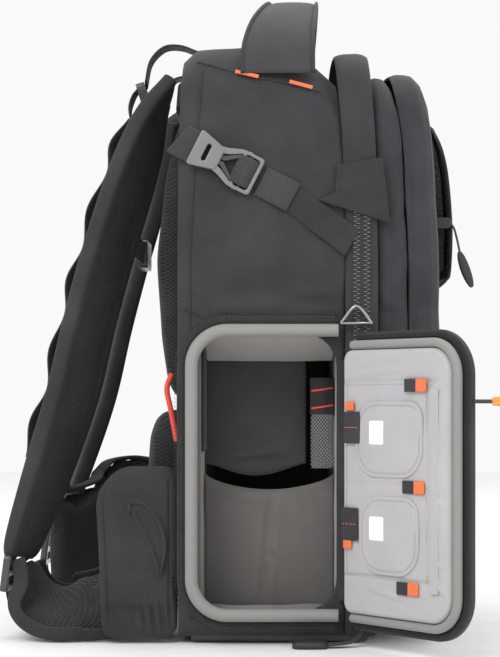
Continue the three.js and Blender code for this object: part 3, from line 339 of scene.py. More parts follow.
def grid_normals(points, wrap):
    """Unit normals of a grid of points by central differences; they point away from the grid's axis."""
    du = np.roll(points, -1, 1) - np.roll(points, 1, 1)
    if not wrap:
        du = np.gradient(points, axis=1)
    dv = np.gradient(points, axis=0)
    return unit(np.cross(dv, du))


SHELL_FOLDS = (  # from (x, z), to (x, z), width, height
    ((-78, 262), (-14, 266), 5.0, 2.2), ((-92, 252), (-62, 244), 5.0, 1.3), ((-14, 262), (31, 261), 4.0, 2.0),
    ((-14, 274), (30, 272), 3.5, 1.6), ((-100, 268), (-78, 250), 4.0, 1.8),
    ((-70, 285), (-20, 300), 8.0, 1.2),
    ((-20, 300), (24, 335), 9.0, -1.0), ((-96, 395), (-40, 420), 10.0, 1.2),
    ((-60, 430), (20, 410), 12.0, -1.0),
    ((-96, 310), (-60, 330), 7.0, 1.0), ((0, 380), (26, 430), 8.0, 1.1))
POCKET_FOLDS = (
    ((56, 300), (74, 318), 5.0, 1.4), ((54, 270), (76, 262), 4.0, 1.3), ((56, 252), (72, 268), 4.0, -1.0),
    ((60, 330), (74, 342), 4.0, 1.0), ((82, 250), (98, 262), 5.0, 1.0), ((80, 330), (96, 352), 6.0, 1.1))


def puffed(points, folds, seed, soft=1.0, fine=0.35, bend=0.0):
    """Moves a grid of body points along its normals: broad unevenness, fine puckers and side folds."""
    normals = grid_normals(points, True)
    if (normals[..., 1] * points[..., 1]).mean() < 0:
        normals = -normals
    lift = soft * ripple(points, 120, seed) + fine * ripple(points, 26, seed + 1)
    side = np.clip(np.abs(normals[..., 1]) * 1.6 - 0.5, 0, 1)
    for a, b, width, height in folds:
        lift = lift + side * crease(points[..., 0], points[..., 2], a, b, width, height)
    return points + normals * (lift + bend)[..., None]


def ring_uv(points):
    """Cloth coordinates in millimetres of a grid: along the ring, and across its rows."""
    u = np.concatenate([np.zeros((len(points), 1)), np.cumsum(
        np.linalg.norm(np.diff(points, axis=1), axis=2), axis=1)], 1)
    step = np.linalg.norm(np.diff(points, axis=0), axis=2).mean(1)
    v = np.broadcast_to(np.concatenate([[0], np.cumsum(step)])[:, None], u.shape)
    return np.stack([u, v], -1).reshape(-1, 2)


RING_COUNT = 360


def make_shell():
    """The main compartment's padded shell, with the side opening cut through its near wall."""
    at = np.concatenate([np.linspace(0, 0.09, 8), np.linspace(0.09, 1, 44)[1:]])
    half = np.interp(at, SHELL_SECTIONS[:, 0], SHELL_SECTIONS[:, 1])
    crest = np.interp(at, SHELL_SECTIONS[:, 0], SHELL_SECTIONS[:, 2])
    outer = np.array([hoop(BODY_HALF_WIDTH * h, BASE_RISE, BODY_HEIGHT * c, 0,
                           between(back_seam, shell_front, a), RING_COUNT) for a, h,
                           c in zip(at, half, crest)])
    outer[:, :, 2] = np.clip(outer[:, :, 2], BASE_RISE, None)
    edge = np.clip(np.minimum(at, 1 - at) / 0.07, 0, 1)[:, None, None]
    floor = np.clip((outer[..., 2:] - 12) / 12, 0, 1)
    outer = outer + (puffed(outer, SHELL_FOLDS, 11) - outer) * edge * floor
    inner_at = np.array([1.0, 0.75, 0.5, 0.25, 0.0])
    inner = np.array([hoop(BODY_HALF_WIDTH * np.interp(a, at, half), BASE_RISE,
                           BODY_HEIGHT * np.interp(a, at, crest),
                           SHELL_WALL, between(back_seam, shell_front, a), RING_COUNT) for a in inner_at])
    grid = np.concatenate([outer, inner])
    uv = ring_uv(grid)
    shell = link_mesh("shell_body", grid.reshape(-1, 3), grid_faces(len(grid), RING_COUNT, True, True), uv)
    tidy(shell)
    outline = rounded_outline(OPENING[0], OPENING[1], OPENING[2], OPENING[3], [OPENING_RADIUS] * 4, 96)
    cut_prism(shell, outline, -190, -120)
    return shell


OPENING = (-90.0, 21.0, 26.0, 243.0)
OPENING_RADIUS = 26.0


def prism(name, outline, y0, y1):
    """A straight prism over an outline in x and z."""
    n = len(outline)
    front = np.stack([outline[:, 0], np.full(n, y0), outline[:, 1]], 1)
    back = front + (0, y1 - y0, 0)
    side = [(k, (k + 1) % n, n + (k + 1) % n, n + k) for k in range(n)]
    return tidy(link_mesh(name, np.vstack([front, back]),
                          side + [tuple(range(n)), tuple(range(2 * n - 1, n - 1, -1))]))


def bake(piece):
    """Applies every modifier to the piece's mesh."""
    graph = bpy.context.evaluated_depsgraph_get()
    old = piece.data
    piece.data = bpy.data.meshes.new_from_object(piece.evaluated_get(graph))
    piece.modifiers.clear()
    bpy.data.meshes.remove(old)
    return piece


def cut_prism(piece, outline, y0, y1):
    """Cuts a prism out of a piece."""
    cutter = prism("cutter", outline, y0, y1)
    cut = piece.modifiers.new("cut", "BOOLEAN")
    cut.operation = "DIFFERENCE"
    cut.solver = "EXACT"
    cut.object = cutter
    bake(piece)
    bpy.data.objects.remove(cutter)
    piece.data.polygons.foreach_set("use_smooth", np.ones(len(piece.data.polygons), bool))


def make_gusset():
    """The zip gusset in front of the shell: a band that swells between its two seams."""
    at = np.linspace(0, 1, 15)
    swell = np.interp(at, GUSSET_SECTIONS[:, 0], GUSSET_SECTIONS[:, 1])
    rows = np.array([hoop(BODY_HALF_WIDTH + GUSSET_PROUD, BASE_RISE, GUSSET_HEIGHT, -s,
                          between(gusset_back, gusset_front, a), RING_COUNT, 0) for a, s in zip(at, swell)])
    rows = rows + (puffed(rows, (), 21, 0.5, 0.45) - rows) * np.sin(np.pi * at)[:, None, None] ** 0.5
    inner = np.array([hoop(BODY_HALF_WIDTH + GUSSET_PROUD, BASE_RISE, GUSSET_HEIGHT, 3.5,
                           between(gusset_back, gusset_front, a), RING_COUNT, 0) for a in (1.0, 0.5, 0.0)])
    grid = np.concatenate([rows, inner])
    return tidy(link_mesh("gusset_band", grid.reshape(-1, 3), grid_faces(len(grid), RING_COUNT, True, True),
                          ring_uv(grid)))


def make_dish(name, half, high, back, front, folds, seed, puff):
    """A pocket like a dish, open at the back: walls that round over into a soft front."""
    at = np.linspace(0, 1, 20)
    at = np.concatenate([at[:-4], np.linspace(at[-4], 1, 9)])
    pull = np.interp(at, DISH_SECTIONS[:, 0], DISH_SECTIONS[:, 1]) * 2.5
    walls = np.array([hoop(half, POCKET_FLOOR, high, p, between(back, front, a), RING_COUNT, 1)
                      for a, p in zip(at, pull)])
    rim = walls[-1]
    mid, tall = (high + POCKET_FLOOR) / 2, (high - POCKET_FLOOR) / 2
    closing = []
    for share in np.linspace(0, 1, 30)[1:]:
        row = rim.copy()
        row[:, 1] *= 1 - share
        crown = (1 - (row[:, 1] / half) ** 2) * (1 - ((row[:, 2] - mid) / tall) ** 2)
        row[:, 0] = front(row[:, 2]) + puff * crown * min(share * 6, 1)
        closing.append(row)
    grid = np.concatenate([walls, closing])
    fade = np.concatenate([np.clip(at / 0.12, 0, 1), np.ones(len(closing) - 3), [0.7, 0.4, 0]])
    outward = grid_normals(grid, True)
    facing = np.sign((outward[5] * (grid[5] - grid[5].mean(0))).sum())
    lift = 0.8 * ripple(grid, 110, seed) + 0.4 * ripple(grid, 24, seed + 1)
    side = np.clip(np.abs(outward[..., 1]) * 1.6 - 0.5, 0, 1)
    for a, b, width, height in folds:
        lift = lift + side * crease(grid[..., 0], grid[..., 2], a, b, width, height)
    grid = grid + outward * facing * (lift * fade[:, None])[..., None]
    uv = ring_uv(grid)
    pocket = tidy(link_mesh(name, grid.reshape(-1, 3), grid_faces(len(grid), RING_COUNT, True), uv), 0.02,
                  False)
    return thicken(pocket, 2.0)


def thicken(piece, wall, offset=-1.0):
    """Gives a skin its wall thickness, inwards, and closes its rim."""
    work = bmesh.new()
    work.from_mesh(piece.data)
    bmesh.ops.recalc_face_normals(work, faces=work.faces)
    work.to_mesh(piece.data)
    work.free()
    wall_mod = piece.modifiers.new("wall", "SOLIDIFY")
    wall_mod.thickness = wall * MM
    wall_mod.offset = offset
    return bake(piece)


# Straps, pads and belt: rows of where the middle runs, which way it is wide, its width and thickness.
def band_grid(rows, thickness, count, sides=28, squareness=4.0, crown=0.0):
    """A flat band through rows of (place, across, width, share of the thickness), as a swept section."""
    place = np.array([r[0] for r in rows], float)
    data = np.hstack([place, unit(np.array([r[1] for r in rows], float)),
                      np.array([[r[2], r[3]] for r in rows], float)])
    line = smooth_path(data, count)
    profile = strap_profile(line[:, 6], thickness * line[:, 7], sides, squareness, crown)
    return line, profile


def band_piece(name, rows, thickness, count=60, sides=28, squareness=4.0, crown=0.0, shape=None):
    """A band as a closed piece with cloth coordinates along and across it, in millimetres."""
    line, profile = band_grid(rows, thickness, count, sides, squareness, crown)
    if shape is not None:
        profile = shape(line, profile)
    verts, faces = sweep(line[:, :3], line[:, 3:6], profile)
    length = np.concatenate([[0], np.cumsum(np.linalg.norm(np.diff(line[:, :3], axis=0), axis=1))])
    uv = np.stack([profile[..., 0] + 3 * profile[..., 1],
                   np.broadcast_to(length[:, None], profile.shape[:2])], -1)
    uv = np.vstack([uv.reshape(-1, 2), [0, 0], [0, length[-1]]])
    return tidy(link_mesh(name, verts, faces, uv))


def mirror_piece(piece, name):
    """The same piece on the far side."""
    mesh = piece.data.copy()
    mesh.name = name
    place = np.zeros(len(mesh.vertices) * 3)
    mesh.vertices.foreach_get("co", place)
    place[1::3] *= -1
    mesh.vertices.foreach_set("co", place)
    mesh.flip_normals()
    far = bpy.data.objects.new(name, mesh)
    bpy.context.scene.collection.objects.link(far)
    return far


STRAP_TOP = 446.0
STRAP_FOOT = 76.0
STRAP_ROWS = tuple(
    ((-103 - out, -side, STRAP_FOOT + (STRAP_TOP - STRAP_FOOT) * up), across, 62 * share, thick)
    for out, side, up, across, share, thick in (
        (15, 62, 1, (0.05, 1, 0.25), 0.8, 0.8), (29, 78, 0.903, (0.3, 1, 0.1), 0.95, 1),
        (43, 86, 0.786, (0.45, 1, 0), 1, 1), (61, 88, 0.627, (0.5, 1, 0), 1, 1),
        (75, 90, 0.484, (0.5, 1, 0), 1, 1),
        (89, 92, 0.322, (0.5, 1, 0), 1, 1), (107, 94, 0.168, (0.45, 1, 0), 0.97, 1),
        (128, 97, 0, (0.4, 1, 0), 0.8, 0.75), (132, 97, -0.03, (0.4, 1, 0), 0.42, 0.4)))
HIP_NEAR_ROWS = (
    ((-121, -123, 44), (0.1, 0.2, 1), 58, 1), ((-149, -108, 36), (0, 0.7, 0.8), 74, 1),
    ((-176, -98, 27), (0, 1, 0.5), 88, 1), ((-202, -95, 25), (0, 1, 0.4), 92, 1),
    ((-220, -88, 35), (0, 1, 0.3), 82, 1), ((-230, -84, 60), (0, 1, 0.15), 64, 1))
HIP_FAR_ROWS = (
    ((-121, 113.2, 82), (0, 0, 1), 96, 1), ((-152, 124, 80), (0, 0, 1), 116, 1),
    ((-176, 118, 78), (0, 0, 1), 116, 1),
    ((-188, 94, 72), (0, 0, 1), 110, 1), ((-194, 66, 66), (0, 0, 1), 104, 1),
    ((-212, 38, 62), (0, 0, 1), 100, 1),
    ((-226, 12, 60), (0, 0, 1), 96, 1))
LIFTER_ROWS = (
    ((-78, -66, 477.7), (0, 1, 0), 22, 1), ((-90, -66, 477.1), (0, 1, 0), 22, 1),
    ((-105, -67, 482), (0, 1, 0), 22, 1),
    ((-119, -68, 481), (0, 1, 0), 22, 1), ((-130, -71, 469), (0, 1, 0), 22, 1),
    ((-134, -74, 450), (0, 1, 0), 22, 1))
BACK_PAD_ROWS = np.array([(0, 0.3, 0.86), (0.05, 0.6, 0.95), (0.22, 0.85, 1), (0.5, 1, 1), (0.75, 0.74, 0.97),
                          (0.95, 0.42, 0.8), (1, 0.25, 0.72)])
LUMBAR_ROWS = np.array([(0, 0.4, 0.94), (0.08, 0.75, 1), (0.5, 1, 1), (0.85, 0.95, 1), (0.96, 0.75, 0.96),
                        (1, 0.45, 0.9)])
PAD_HALF_WIDTH = 108.0


def make_pad(name, rows, low, high, depth, channels, seed):
    """A foam pad on the back: a row of soft sections up the pack, with sewn channels across it."""
    at = (1 - np.cos(np.linspace(0, np.pi, 46))) / 2
    deep = np.interp(at, rows[:, 0], rows[:, 1]) * depth
    wide = np.interp(at, rows[:, 0], rows[:, 2]) * PAD_HALF_WIDTH
    z = low + (high - low) * at
    a = np.linspace(0, np.pi, 60)
    y = -np.cos(a)[None] * wide[:, None]
    out = deep[:, None] * np.abs(np.sin(a))[None] ** 0.22
    channel = sum(np.exp(-((np.abs(y) - c) / 3.2) ** 2) for c in channels)
    out = out - np.minimum(channel * 3.5, out * 0.6) + 0.6 * ripple(
        np.stack([y, y * 0, np.broadcast_to(z[:, None], y.shape)], -1), 60, seed) * np.clip(out / 12, 0, 1)
    x0 = (back_seam(z) + 0.6)[:, None]
    front = np.stack([x0 - out, y, np.broadcast_to(z[:, None], y.shape)], -1)
    back = front[:, ::-1].copy()[:, 1:-1]
    back[..., 0] = x0
    grid = np.concatenate([front, back], 1)
    faces = [f for f in grid_faces(len(grid), grid.shape[1], True)]
    n = grid.shape[1]
    faces += [tuple(range(n))[::-1], tuple(range((len(grid) - 1) * n, len(grid) * n))]
    uv = np.stack([grid[..., 1], grid[..., 2]], -1).reshape(-1, 2)
    return tidy(link_mesh(name, grid.reshape(-1, 3), faces, uv))


FLAP_ROWS = np.array([(299, 9, 88), (330, 11, 92), (370, 10, 92), (395, 7.5, 86), (416, 3.5, 72)])


def make_flap(name, back_gap, front_gap, grow, drop, slit):
    """One layer of the front flap: a soft plate over the front pocket, wider at the middle."""
    at = np.linspace(0, 1, 34)
    z = np.interp(at, np.linspace(0, 1, len(FLAP_ROWS)), FLAP_ROWS[:, 0])
    out = np.interp(z, FLAP_ROWS[:, 0], FLAP_ROWS[:, 1])
    half = np.interp(z, FLAP_ROWS[:, 0], FLAP_ROWS[:, 2]) + grow
    z = z - drop * (1 - at) ** 3
    a = np.linspace(0, np.pi, 48)
    y = -np.cos(a)[None] * half[:, None]
    near = front_face(z) + (back_gap(out) if callable(back_gap) else back_gap)
    far = front_face(z) + front_gap(out)
    soft = np.abs(np.sin(a)) ** slit
    front = np.stack([near[:, None] + (far - near)[:, None] * soft, y, np.broadcast_to(z[:, None], y.shape)],
                     -1)
    front[..., 0] += 0.25 * ripple(front, 40, 61) * soft
    back = front[:, ::-1].copy()[:, 1:-1]
    back[..., 0] = near[:, None]
    grid = np.concatenate([front, back], 1)
    n = grid.shape[1]
    faces = list(grid_faces(len(grid), n, True))
    faces += [tuple(range(n))[::-1], tuple(range((len(grid) - 1) * n, len(grid) * n))]
    return tidy(link_mesh(name, grid.reshape(-1, 3), faces, grid[..., 1:].reshape(-1, 2)))


# The door: x along it from the hinge, y across its thickness, turned about the hinge into place.
DOOR_PLACE = (27.0, -156.0)
DOOR_TURN = math.radians(-48)
DOOR_START = 4.0
DOOR_WIDTH = 131.0
DOOR_LOW = 14.0
DOOR_HIGH = 243.0
DOOR_CORNERS = (10.0, 34.0, 34.0, 10.0)


def on_door(points):
    """Door coordinates to the pack's."""
    p = np.asarray(points, float)
    c, s = math.cos(DOOR_TURN), math.sin(DOOR_TURN)
    return np.stack([DOOR_PLACE[0] + p[..., 0] * c - p[..., 1] * s,
                     DOOR_PLACE[1] + p[..., 0] * s + p[..., 1] * c, p[..., 2]], -1)


def door_outline(inset, hinge_inset, count):
    radii = [DOOR_CORNERS[0], DOOR_CORNERS[1] - inset, DOOR_CORNERS[2] - inset, DOOR_CORNERS[3]]
    return rounded_outline(DOOR_START + hinge_inset, DOOR_WIDTH - inset, DOOR_LOW + inset, DOOR_HIGH - inset,
                           radii, count)


def edge_path(inset, count, start):
    """The door's free edge, from low at the hinge round to high at the hinge."""
    ring = door_outline(inset, 0, 720)
    first = np.argmin(np.hypot(ring[:, 0] - start, ring[:, 1] - (DOOR_LOW + inset)))
    ring = np.roll(ring, -first, 0)
    last = np.where((ring[:, 0] >= start) | (ring[:, 1] < DOOR_HIGH - inset - 2))[0]
    stop = np.where((np.abs(ring[:, 1] - (DOOR_HIGH - inset)) < 0.5) & (ring[:, 0] < start + 0.5))[0]
    ring = ring[:stop[0]] if len(stop) else ring[last]
    length = np.concatenate([[0], np.cumsum(np.linalg.norm(np.diff(ring, axis=0), axis=1))])
    even = np.linspace(0, length[-1], count)
    return np.stack([np.interp(even, length, ring[:, k]) for k in range(2)], 1)


def opening_path(out, count, end_x):
    """The side opening's outline, grown by out, from end_x low round the back to end_x high."""
    r = OPENING_RADIUS + out
    x0, z0, z1 = OPENING[0] - out, OPENING[2] - out, OPENING[3] + out
    low = np.radians(np.linspace(270, 180, 20))
    high = np.radians(np.linspace(180, 90, 20))
    path = np.vstack([[[end_x, z0]], np.stack([x0 + r + r * np.cos(low), z0 + r + r * np.sin(low)], 1),
                      np.stack([x0 + r + r * np.cos(high), z1 - r + r * np.sin(high)], 1), [[end_x, z1]]])
    length = np.concatenate([[0], np.cumsum(np.linalg.norm(np.diff(path, axis=0), axis=1))])
    even = np.linspace(0, length[-1], count)
    return np.stack([np.interp(even, length, path[:, k]) for k in range(2)], 1)


def padded_wall(name, left, right, low, high, face, bulge, top_dip, sag, seed, lines=(), thickness=9.0):
    """A padded divider in the compartment: a soft face between its side edges, with creases."""
    u = np.linspace(0, 1, 70)
    v = np.linspace(0, 1, 60)
    uu, vv = np.meshgrid(u, v)
    z0 = low - sag * np.sin(np.pi * uu) ** 1.3
    z1 = high - top_dip * np.sin(np.pi * np.clip(uu, 0, 1)) ** 0.6
    x = left + (right - left) * uu
    z = z0 + (z1 - z0) * vv
    soft = np.clip(np.sin(np.pi * vv), 0, 1) ** 0.2 * np.clip(np.sin(np.pi * uu), 0, 1) ** 0.3
    y = face + thickness * 0.5 * (1 - soft) - bulge * np.sin(np.pi * uu) * np.sin(np.pi * vv) ** 0.5
    y = y - 0.7 * ripple(np.stack([x, y * 0, z], -1), 48, seed) * soft
    for a, b, width, height in lines:
        y = y - crease(x, z, a, b, width, height) * soft
    front = np.stack([x, y, z], -1)
    back = front.copy()
    back[..., 1] = face + thickness
    points = np.concatenate([front.reshape(-1, 3), back.reshape(-1, 3)])
    rows, columns = len(v), len(u)
    half = rows * columns
    faces = list(grid_faces(rows, columns)) + list(grid_faces(rows, columns, start=half)[:, ::-1])
    rim = np.concatenate([np.arange(columns), np.arange(1, rows) * columns + columns - 1,
                          (rows - 1) * columns + np.arange(columns - 2, -1, -1),
                          np.arange(rows - 2, 0, -1) * columns])
    nxt = np.roll(rim, -1)
    faces += list(np.stack([rim, rim + half, nxt + half, nxt], 1))
    uv = np.stack([points[:, 0], points[:, 2]], 1)
    return tidy(link_mesh(name, points, faces, uv))


# Finishes
class Graph:
    """Short calls that add shader nodes to a tree and wire them up."""

    def __init__(self, tree):
        self.tree = tree

    def add(self, kind, inputs=None, **settings):
        node = self.tree.nodes.new("ShaderNode" + kind)
        for key, value in settings.items():
            setattr(node, key, value)
        for key, value in (inputs or {}).items():
            self.put(node.inputs[key], value)
        return node

    def put(self, socket, value):
        if isinstance(value, bpy.types.NodeSocket):
            self.tree.links.new(value, socket)
        else:
            socket.default_value = value

    def math(self, operation, a, b=0.0, c=0.0, clamp=False):
        node = self.add("Math", operation=operation, use_clamp=clamp)
        for socket, value in zip(node.inputs, (a, b, c)):
            self.put(socket, value)
        return node.outputs[0]

    def mix(self, share, a, b):
        """Colour a where share is 0 and colour b where it is 1."""
        node = self.add("Mix", data_type="RGBA")
        self.put(node.inputs["Factor"], share)
        self.put(node.inputs["A"], a)
        self.put(node.inputs["B"], b)
        return next(o for o in node.outputs if o.type == "RGBA")

    def noise(self, vector, scale, detail=3.0, rough=0.5):
        node = self.add("TexNoise", {"Scale": scale, "Detail": detail, "Roughness": rough, "Vector": vector})
        return node.outputs[0]

    def ramp(self, value, low, high):
        """Value carried from low..high to 0..1."""
        node = self.add("MapRange", {"Value": value, "From Min": low, "From Max": high}, clamp=True)
        return node.outputs["Result"]


SOCKET = {"v": "NodeSocketVector", "c": "NodeSocketColor", "f": "NodeSocketFloat"}


def new_group(name, takes, gives):
    """An empty node group with its sockets; takes and gives are rows of (name, kind, default)."""
    tree = bpy.data.node_groups.new(name, "ShaderNodeTree")
    for rows, way in ((takes, "INPUT"), (gives, "OUTPUT")):
        for label, kind, *start in rows:
            socket = tree.interface.new_socket(label, in_out=way, socket_type=SOCKET[kind])
            if start:
                socket.default_value = start[0]
    source = tree.nodes.new("NodeGroupInput")
    sink = tree.nodes.new("NodeGroupOutput")
    return Graph(tree), source.outputs, sink.inputs


def split(graph, vector):
    node = graph.add("SeparateXYZ", {"Vector": vector})
    return node.outputs[0], node.outputs[1]


def weave_group():
    """Plain weave with a rib: threads cross over and under in a checker of one thread by one thread."""
    g, into, out = new_group("weave", [("Place", "v"), ("Pitch", "f", 1.0), ("Rib", "f", 0.5)],
                             [("Height", "f"), ("Shade", "f")])
    u, v = split(g, into["Place"])
    a = g.math("DIVIDE", u, into["Pitch"])
    b = g.math("DIVIDE", v, into["Pitch"])
    over = g.math("ABSOLUTE", g.math("SINE", g.math("MULTIPLY", a, math.pi)))
    under = g.math("ABSOLUTE", g.math("SINE", g.math("MULTIPLY", b, math.pi)))
    cells = g.math("ADD", g.math("FLOOR", a), g.math("FLOOR", b))
    odd = g.math("ABSOLUTE", g.math("MODULO", cells, 2.0))
    woven = g.math("ADD", g.math("MULTIPLY", over, odd),
                   g.math("MULTIPLY", under, g.math("SUBTRACT", 1.0, odd)))
    rib = g.math("ABSOLUTE", g.math("SINE", g.math("MULTIPLY", a, math.pi / 2)))
    height = g.math("ADD", g.math("MULTIPLY", rib, into["Rib"]),
                    g.math("MULTIPLY", woven, g.math("SUBTRACT", 1.0, into["Rib"])))
    slub = g.noise(g.add("Mapping", {"Vector": into["Place"], "Scale": (0.9, 0.06, 1)}).outputs[0], 1.0)
    g.put(out["Height"], g.math("ADD", height, g.math("MULTIPLY", slub, 0.35)))
    g.put(out["Shade"], g.math("ADD", g.math("MULTIPLY", height, 0.75), g.math("MULTIPLY", slub, 0.5)))
    return g.tree


def air_mesh_group():
    """Spacer mesh: two families of slanted yarns that leave diamond holes between them."""
    g, into, out = new_group("air_mesh", [("Place", "v"), ("Wide", "f", 3.2), ("High", "f", 4.6)],
                             [("Height", "f"), ("Shade", "f")])
    u, v = split(g, into["Place"])
    a = g.math("DIVIDE", u, into["Wide"])
    b = g.math("DIVIDE", v, into["High"])
    yarns = []
    for joined in (g.math("ADD", a, b), g.math("SUBTRACT", a, b)):
        yarns.append(g.math("ABSOLUTE", g.math("SUBTRACT", g.math("FRACT", joined), 0.5)))
    nearest = g.math("MAXIMUM", *yarns)
    yarn = g.ramp(nearest, 0.26, 0.42)
    g.put(out["Height"], yarn)
    g.put(out["Shade"], yarn)
    return g.tree


def webbing_group():
    """Woven webbing: cross ribs that break into chevrons across the width, with a plain edge."""
    g, into, out = new_group("webbing_ribs", [("Place", "v"), ("Pitch", "f", 1.5)],
                             [("Height", "f"), ("Shade", "f")])
    u, v = split(g, into["Place"])
    chevron = g.math("PINGPONG", u, 3.0)
    along = g.math("DIVIDE", g.math("ADD", v, g.math("MULTIPLY", chevron, 0.35)), into["Pitch"])
    rib = g.math("ABSOLUTE", g.math("SINE", g.math("MULTIPLY", along, math.pi)))
    ends = g.math("ABSOLUTE", g.math("SINE", g.math("MULTIPLY", u, math.pi / 1.1)))
    height = g.math("ADD", g.math("MULTIPLY", rib, 0.7), g.math("MULTIPLY", ends, 0.3))
    g.put(out["Height"], height)
    g.put(out["Shade"], height)
    return g.tree


def nap_group():
    """Brushed loop lining: a fine fuzz over soft clouds where the nap lies another way."""
    g, into, out = new_group("nap", [("Place", "v"), ("Grain", "f", 1.4)], [("Height", "f"), ("Shade", "f")])
    fuzz = g.noise(into["Place"], into["Grain"], 4.0, 0.7)
    clouds = g.noise(into["Place"], 0.05, 2.0, 0.5)
    g.put(out["Height"], fuzz)
    g.put(out["Shade"], g.math("ADD", g.math("MULTIPLY", fuzz, 0.5), g.math("MULTIPLY", clouds, 0.5)))
    return g.tree


def wear_group():
    """Handling: broad fading and small dust, as two masks from the object's own coordinates."""
    g, into, out = new_group("wear", [("Place", "v")], [("Fade", "f"), ("Dust", "f")])
    g.put(out["Fade"], g.ramp(g.noise(into["Place"], 0.02, 3.0, 0.55), 0.35, 0.7))
    g.put(out["Dust"], g.ramp(g.noise(into["Place"], 0.35, 5.0, 0.75), 0.62, 0.8))
    return g.tree


GROUPS = {"weave": weave_group(), "air_mesh": air_mesh_group(), "webbing": webbing_group(),
          "nap": nap_group(),
          "wear": wear_group()}


def rgb(code):
    """A linear colour from a six-digit hexadecimal sRGB value."""
    parts = [((code >> shift) & 255) / 255 for shift in (16, 8, 0)]
    return tuple(p / 12.92 if p <= 0.04045 else ((p + 0.055) / 1.055) ** 2.4 for p in parts) + (1.0,)


def fabric(name, kind, colour, deep, rough=0.85, sheen=0.06, bump=0.4, depth=0.25, own_uv=True, settings=None,
           shine=0.0):
    """A cloth: a pattern group shades it from deep to colour and raises it, over handling marks.

    depth is the pattern's height in millimetres. own_uv reads the piece's cloth coordinates; other
    pieces are CAD nodes, which take x + y and z of their own coordinates.
    """
    mat = bpy.data.materials.new(name)
    mat.use_nodes = True
    g = Graph(mat.node_tree)
    shader = g.tree.nodes["Principled BSDF"]
    object_mm = g.add("VectorMath", {1: (1000, 1000, 1000)}, operation="MULTIPLY")
    g.put(object_mm.inputs[0], g.add("TexCoord").outputs["Object"])
    if own_uv:
        place = g.add("UVMap", uv_map="cloth").outputs[0]
    else:
        x, y = split(g, object_mm.outputs[0])
        z = g.add("SeparateXYZ", {"Vector": object_mm.outputs[0]}).outputs[2]
        place = g.add("CombineXYZ", {"X": z, "Y": g.math("ADD", x, y)}).outputs[0]
    pattern = g.add("Group", node_tree=GROUPS[kind])
    g.put(pattern.inputs["Place"], place)
    for key, value in (settings or {}).items():
        pattern.inputs[key].default_value = value
    wear = g.add("Group", node_tree=GROUPS["wear"])
    g.put(wear.inputs["Place"], object_mm.outputs[0])
    shaded = g.mix(g.ramp(pattern.outputs["Shade"], 0.1, 0.95), rgb(deep), rgb(colour))
    faded = g.mix(g.math("MULTIPLY", wear.outputs["Fade"], 0.08), shaded, rgb(0x77757a))
    dusty = g.mix(g.math("MULTIPLY", wear.outputs["Dust"], 0.05), faded, rgb(0xa09c96))
    g.put(shader.inputs["Base Color"], dusty)
    g.put(shader.inputs["Roughness"],
          g.math("SUBTRACT", rough, g.math("MULTIPLY", pattern.outputs["Shade"], shine)))
    shader.inputs["Sheen Weight"].default_value = sheen
    shader.inputs["Sheen Roughness"].default_value = 0.5
    bump_node = g.add("Bump", {"Strength": bump, "Distance": depth * MM, "Height": pattern.outputs["Height"]})
    g.put(shader.inputs["Normal"], bump_node.outputs[0])
    return mat


def hard(name, colour, rough, metal=0.0, coat=0.0, grain=0.15):
    """Moulded plastic or wire: a little grain, scuffs that turn it paler and rougher."""
    mat = bpy.data.materials.new(name)
    mat.use_nodes = True
    g = Graph(mat.node_tree)
    shader = g.tree.nodes["Principled BSDF"]
    object_mm = g.add("VectorMath", {1: (1000, 1000, 1000)}, operation="MULTIPLY")
    g.put(object_mm.inputs[0], g.add("TexCoord").outputs["Object"])
    wear = g.add("Group", node_tree=GROUPS["wear"])
    g.put(wear.inputs["Place"], object_mm.outputs[0])
    scuffed = g.mix(g.math("MULTIPLY", wear.outputs["Dust"], 0.3), rgb(colour), rgb(0xb5b5b5))
    g.put(shader.inputs["Base Color"], scuffed)
    g.put(shader.inputs["Roughness"], g.math("ADD", rough, g.math("MULTIPLY", wear.outputs["Dust"], 0.25)))
    shader.inputs["Metallic"].default_value = metal
    shader.inputs["Coat Weight"].default_value = coat
    fine = g.noise(object_mm.outputs[0], 2.5, 3.0, 0.6)
    bump_node = g.add("Bump", {"Strength": grain, "Distance": 0.1 * MM, "Height": fine})
    g.put(shader.inputs["Normal"], bump_node.outputs[0])
    return mat


SHELL = fabric("shell_cloth", "weave", 0x29292b, 0x19191b, settings={"Pitch": 0.9, "Rib": 0.65}, depth=0.3)
POCKET = fabric("pocket_cloth", "weave", 0x2c292e, 0x1b191d, settings={"Pitch": 0.8, "Rib": 0.3})
CANVAS = fabric("belt_cloth", "weave", 0x222224, 0x151517, settings={"Pitch": 1.1, "Rib": 0.2})
NODE_CLOTH = fabric("node_cloth", "weave", 0x252527, 0x161618, settings={"Pitch": 0.9, "Rib": 0.5},
                    own_uv=False)
MESH = fabric("air_mesh", "air_mesh", 0x232326, 0x050506, 0.9, 0.1, 0.9, 1.1)
NODE_MESH = fabric("node_mesh", "air_mesh", 0x222225, 0x050506, 0.9, 0.1, 0.9, 1.1, own_uv=False)
WEB = fabric("webbing", "webbing", 0x262629, 0x0f0f11, 0.7, 0.15, 0.7, 0.45, shine=0.12)
NODE_WEB = fabric("node_webbing", "webbing", 0x232326, 0x0f0f11, 0.7, 0.15, 0.7, 0.45, own_uv=False)
LINING = fabric("door_lining", "nap", 0xb6b3b5, 0xa2a0a2, 0.95, 0.35, 0.5, 0.3)
NODE_LINING = fabric("node_lining", "nap", 0xb6b3b5, 0xa2a0a2, 0.95, 0.35, 0.5, 0.3, own_uv=False)
# The compartment's lining colours are darkened below the door's light lining: painted shade of the
# compartment's inside.
INNER_PAINTED_SHADE = fabric("inner_lining", "nap", 0x76736f, 0x5f5c59, 0.95, 0.35, 0.5, 0.3)
NODE_INNER_PAINTED_SHADE = fabric("node_inner_lining_painted_shade", "nap", 0x7c7b7a, 0x636261, 0.95, 0.35, 0.5, 0.3, own_uv=False)
DARK = fabric("divider_cloth", "nap", 0x4b4b4d, 0x333335, 0.95, 0.3, 0.5, 0.3)
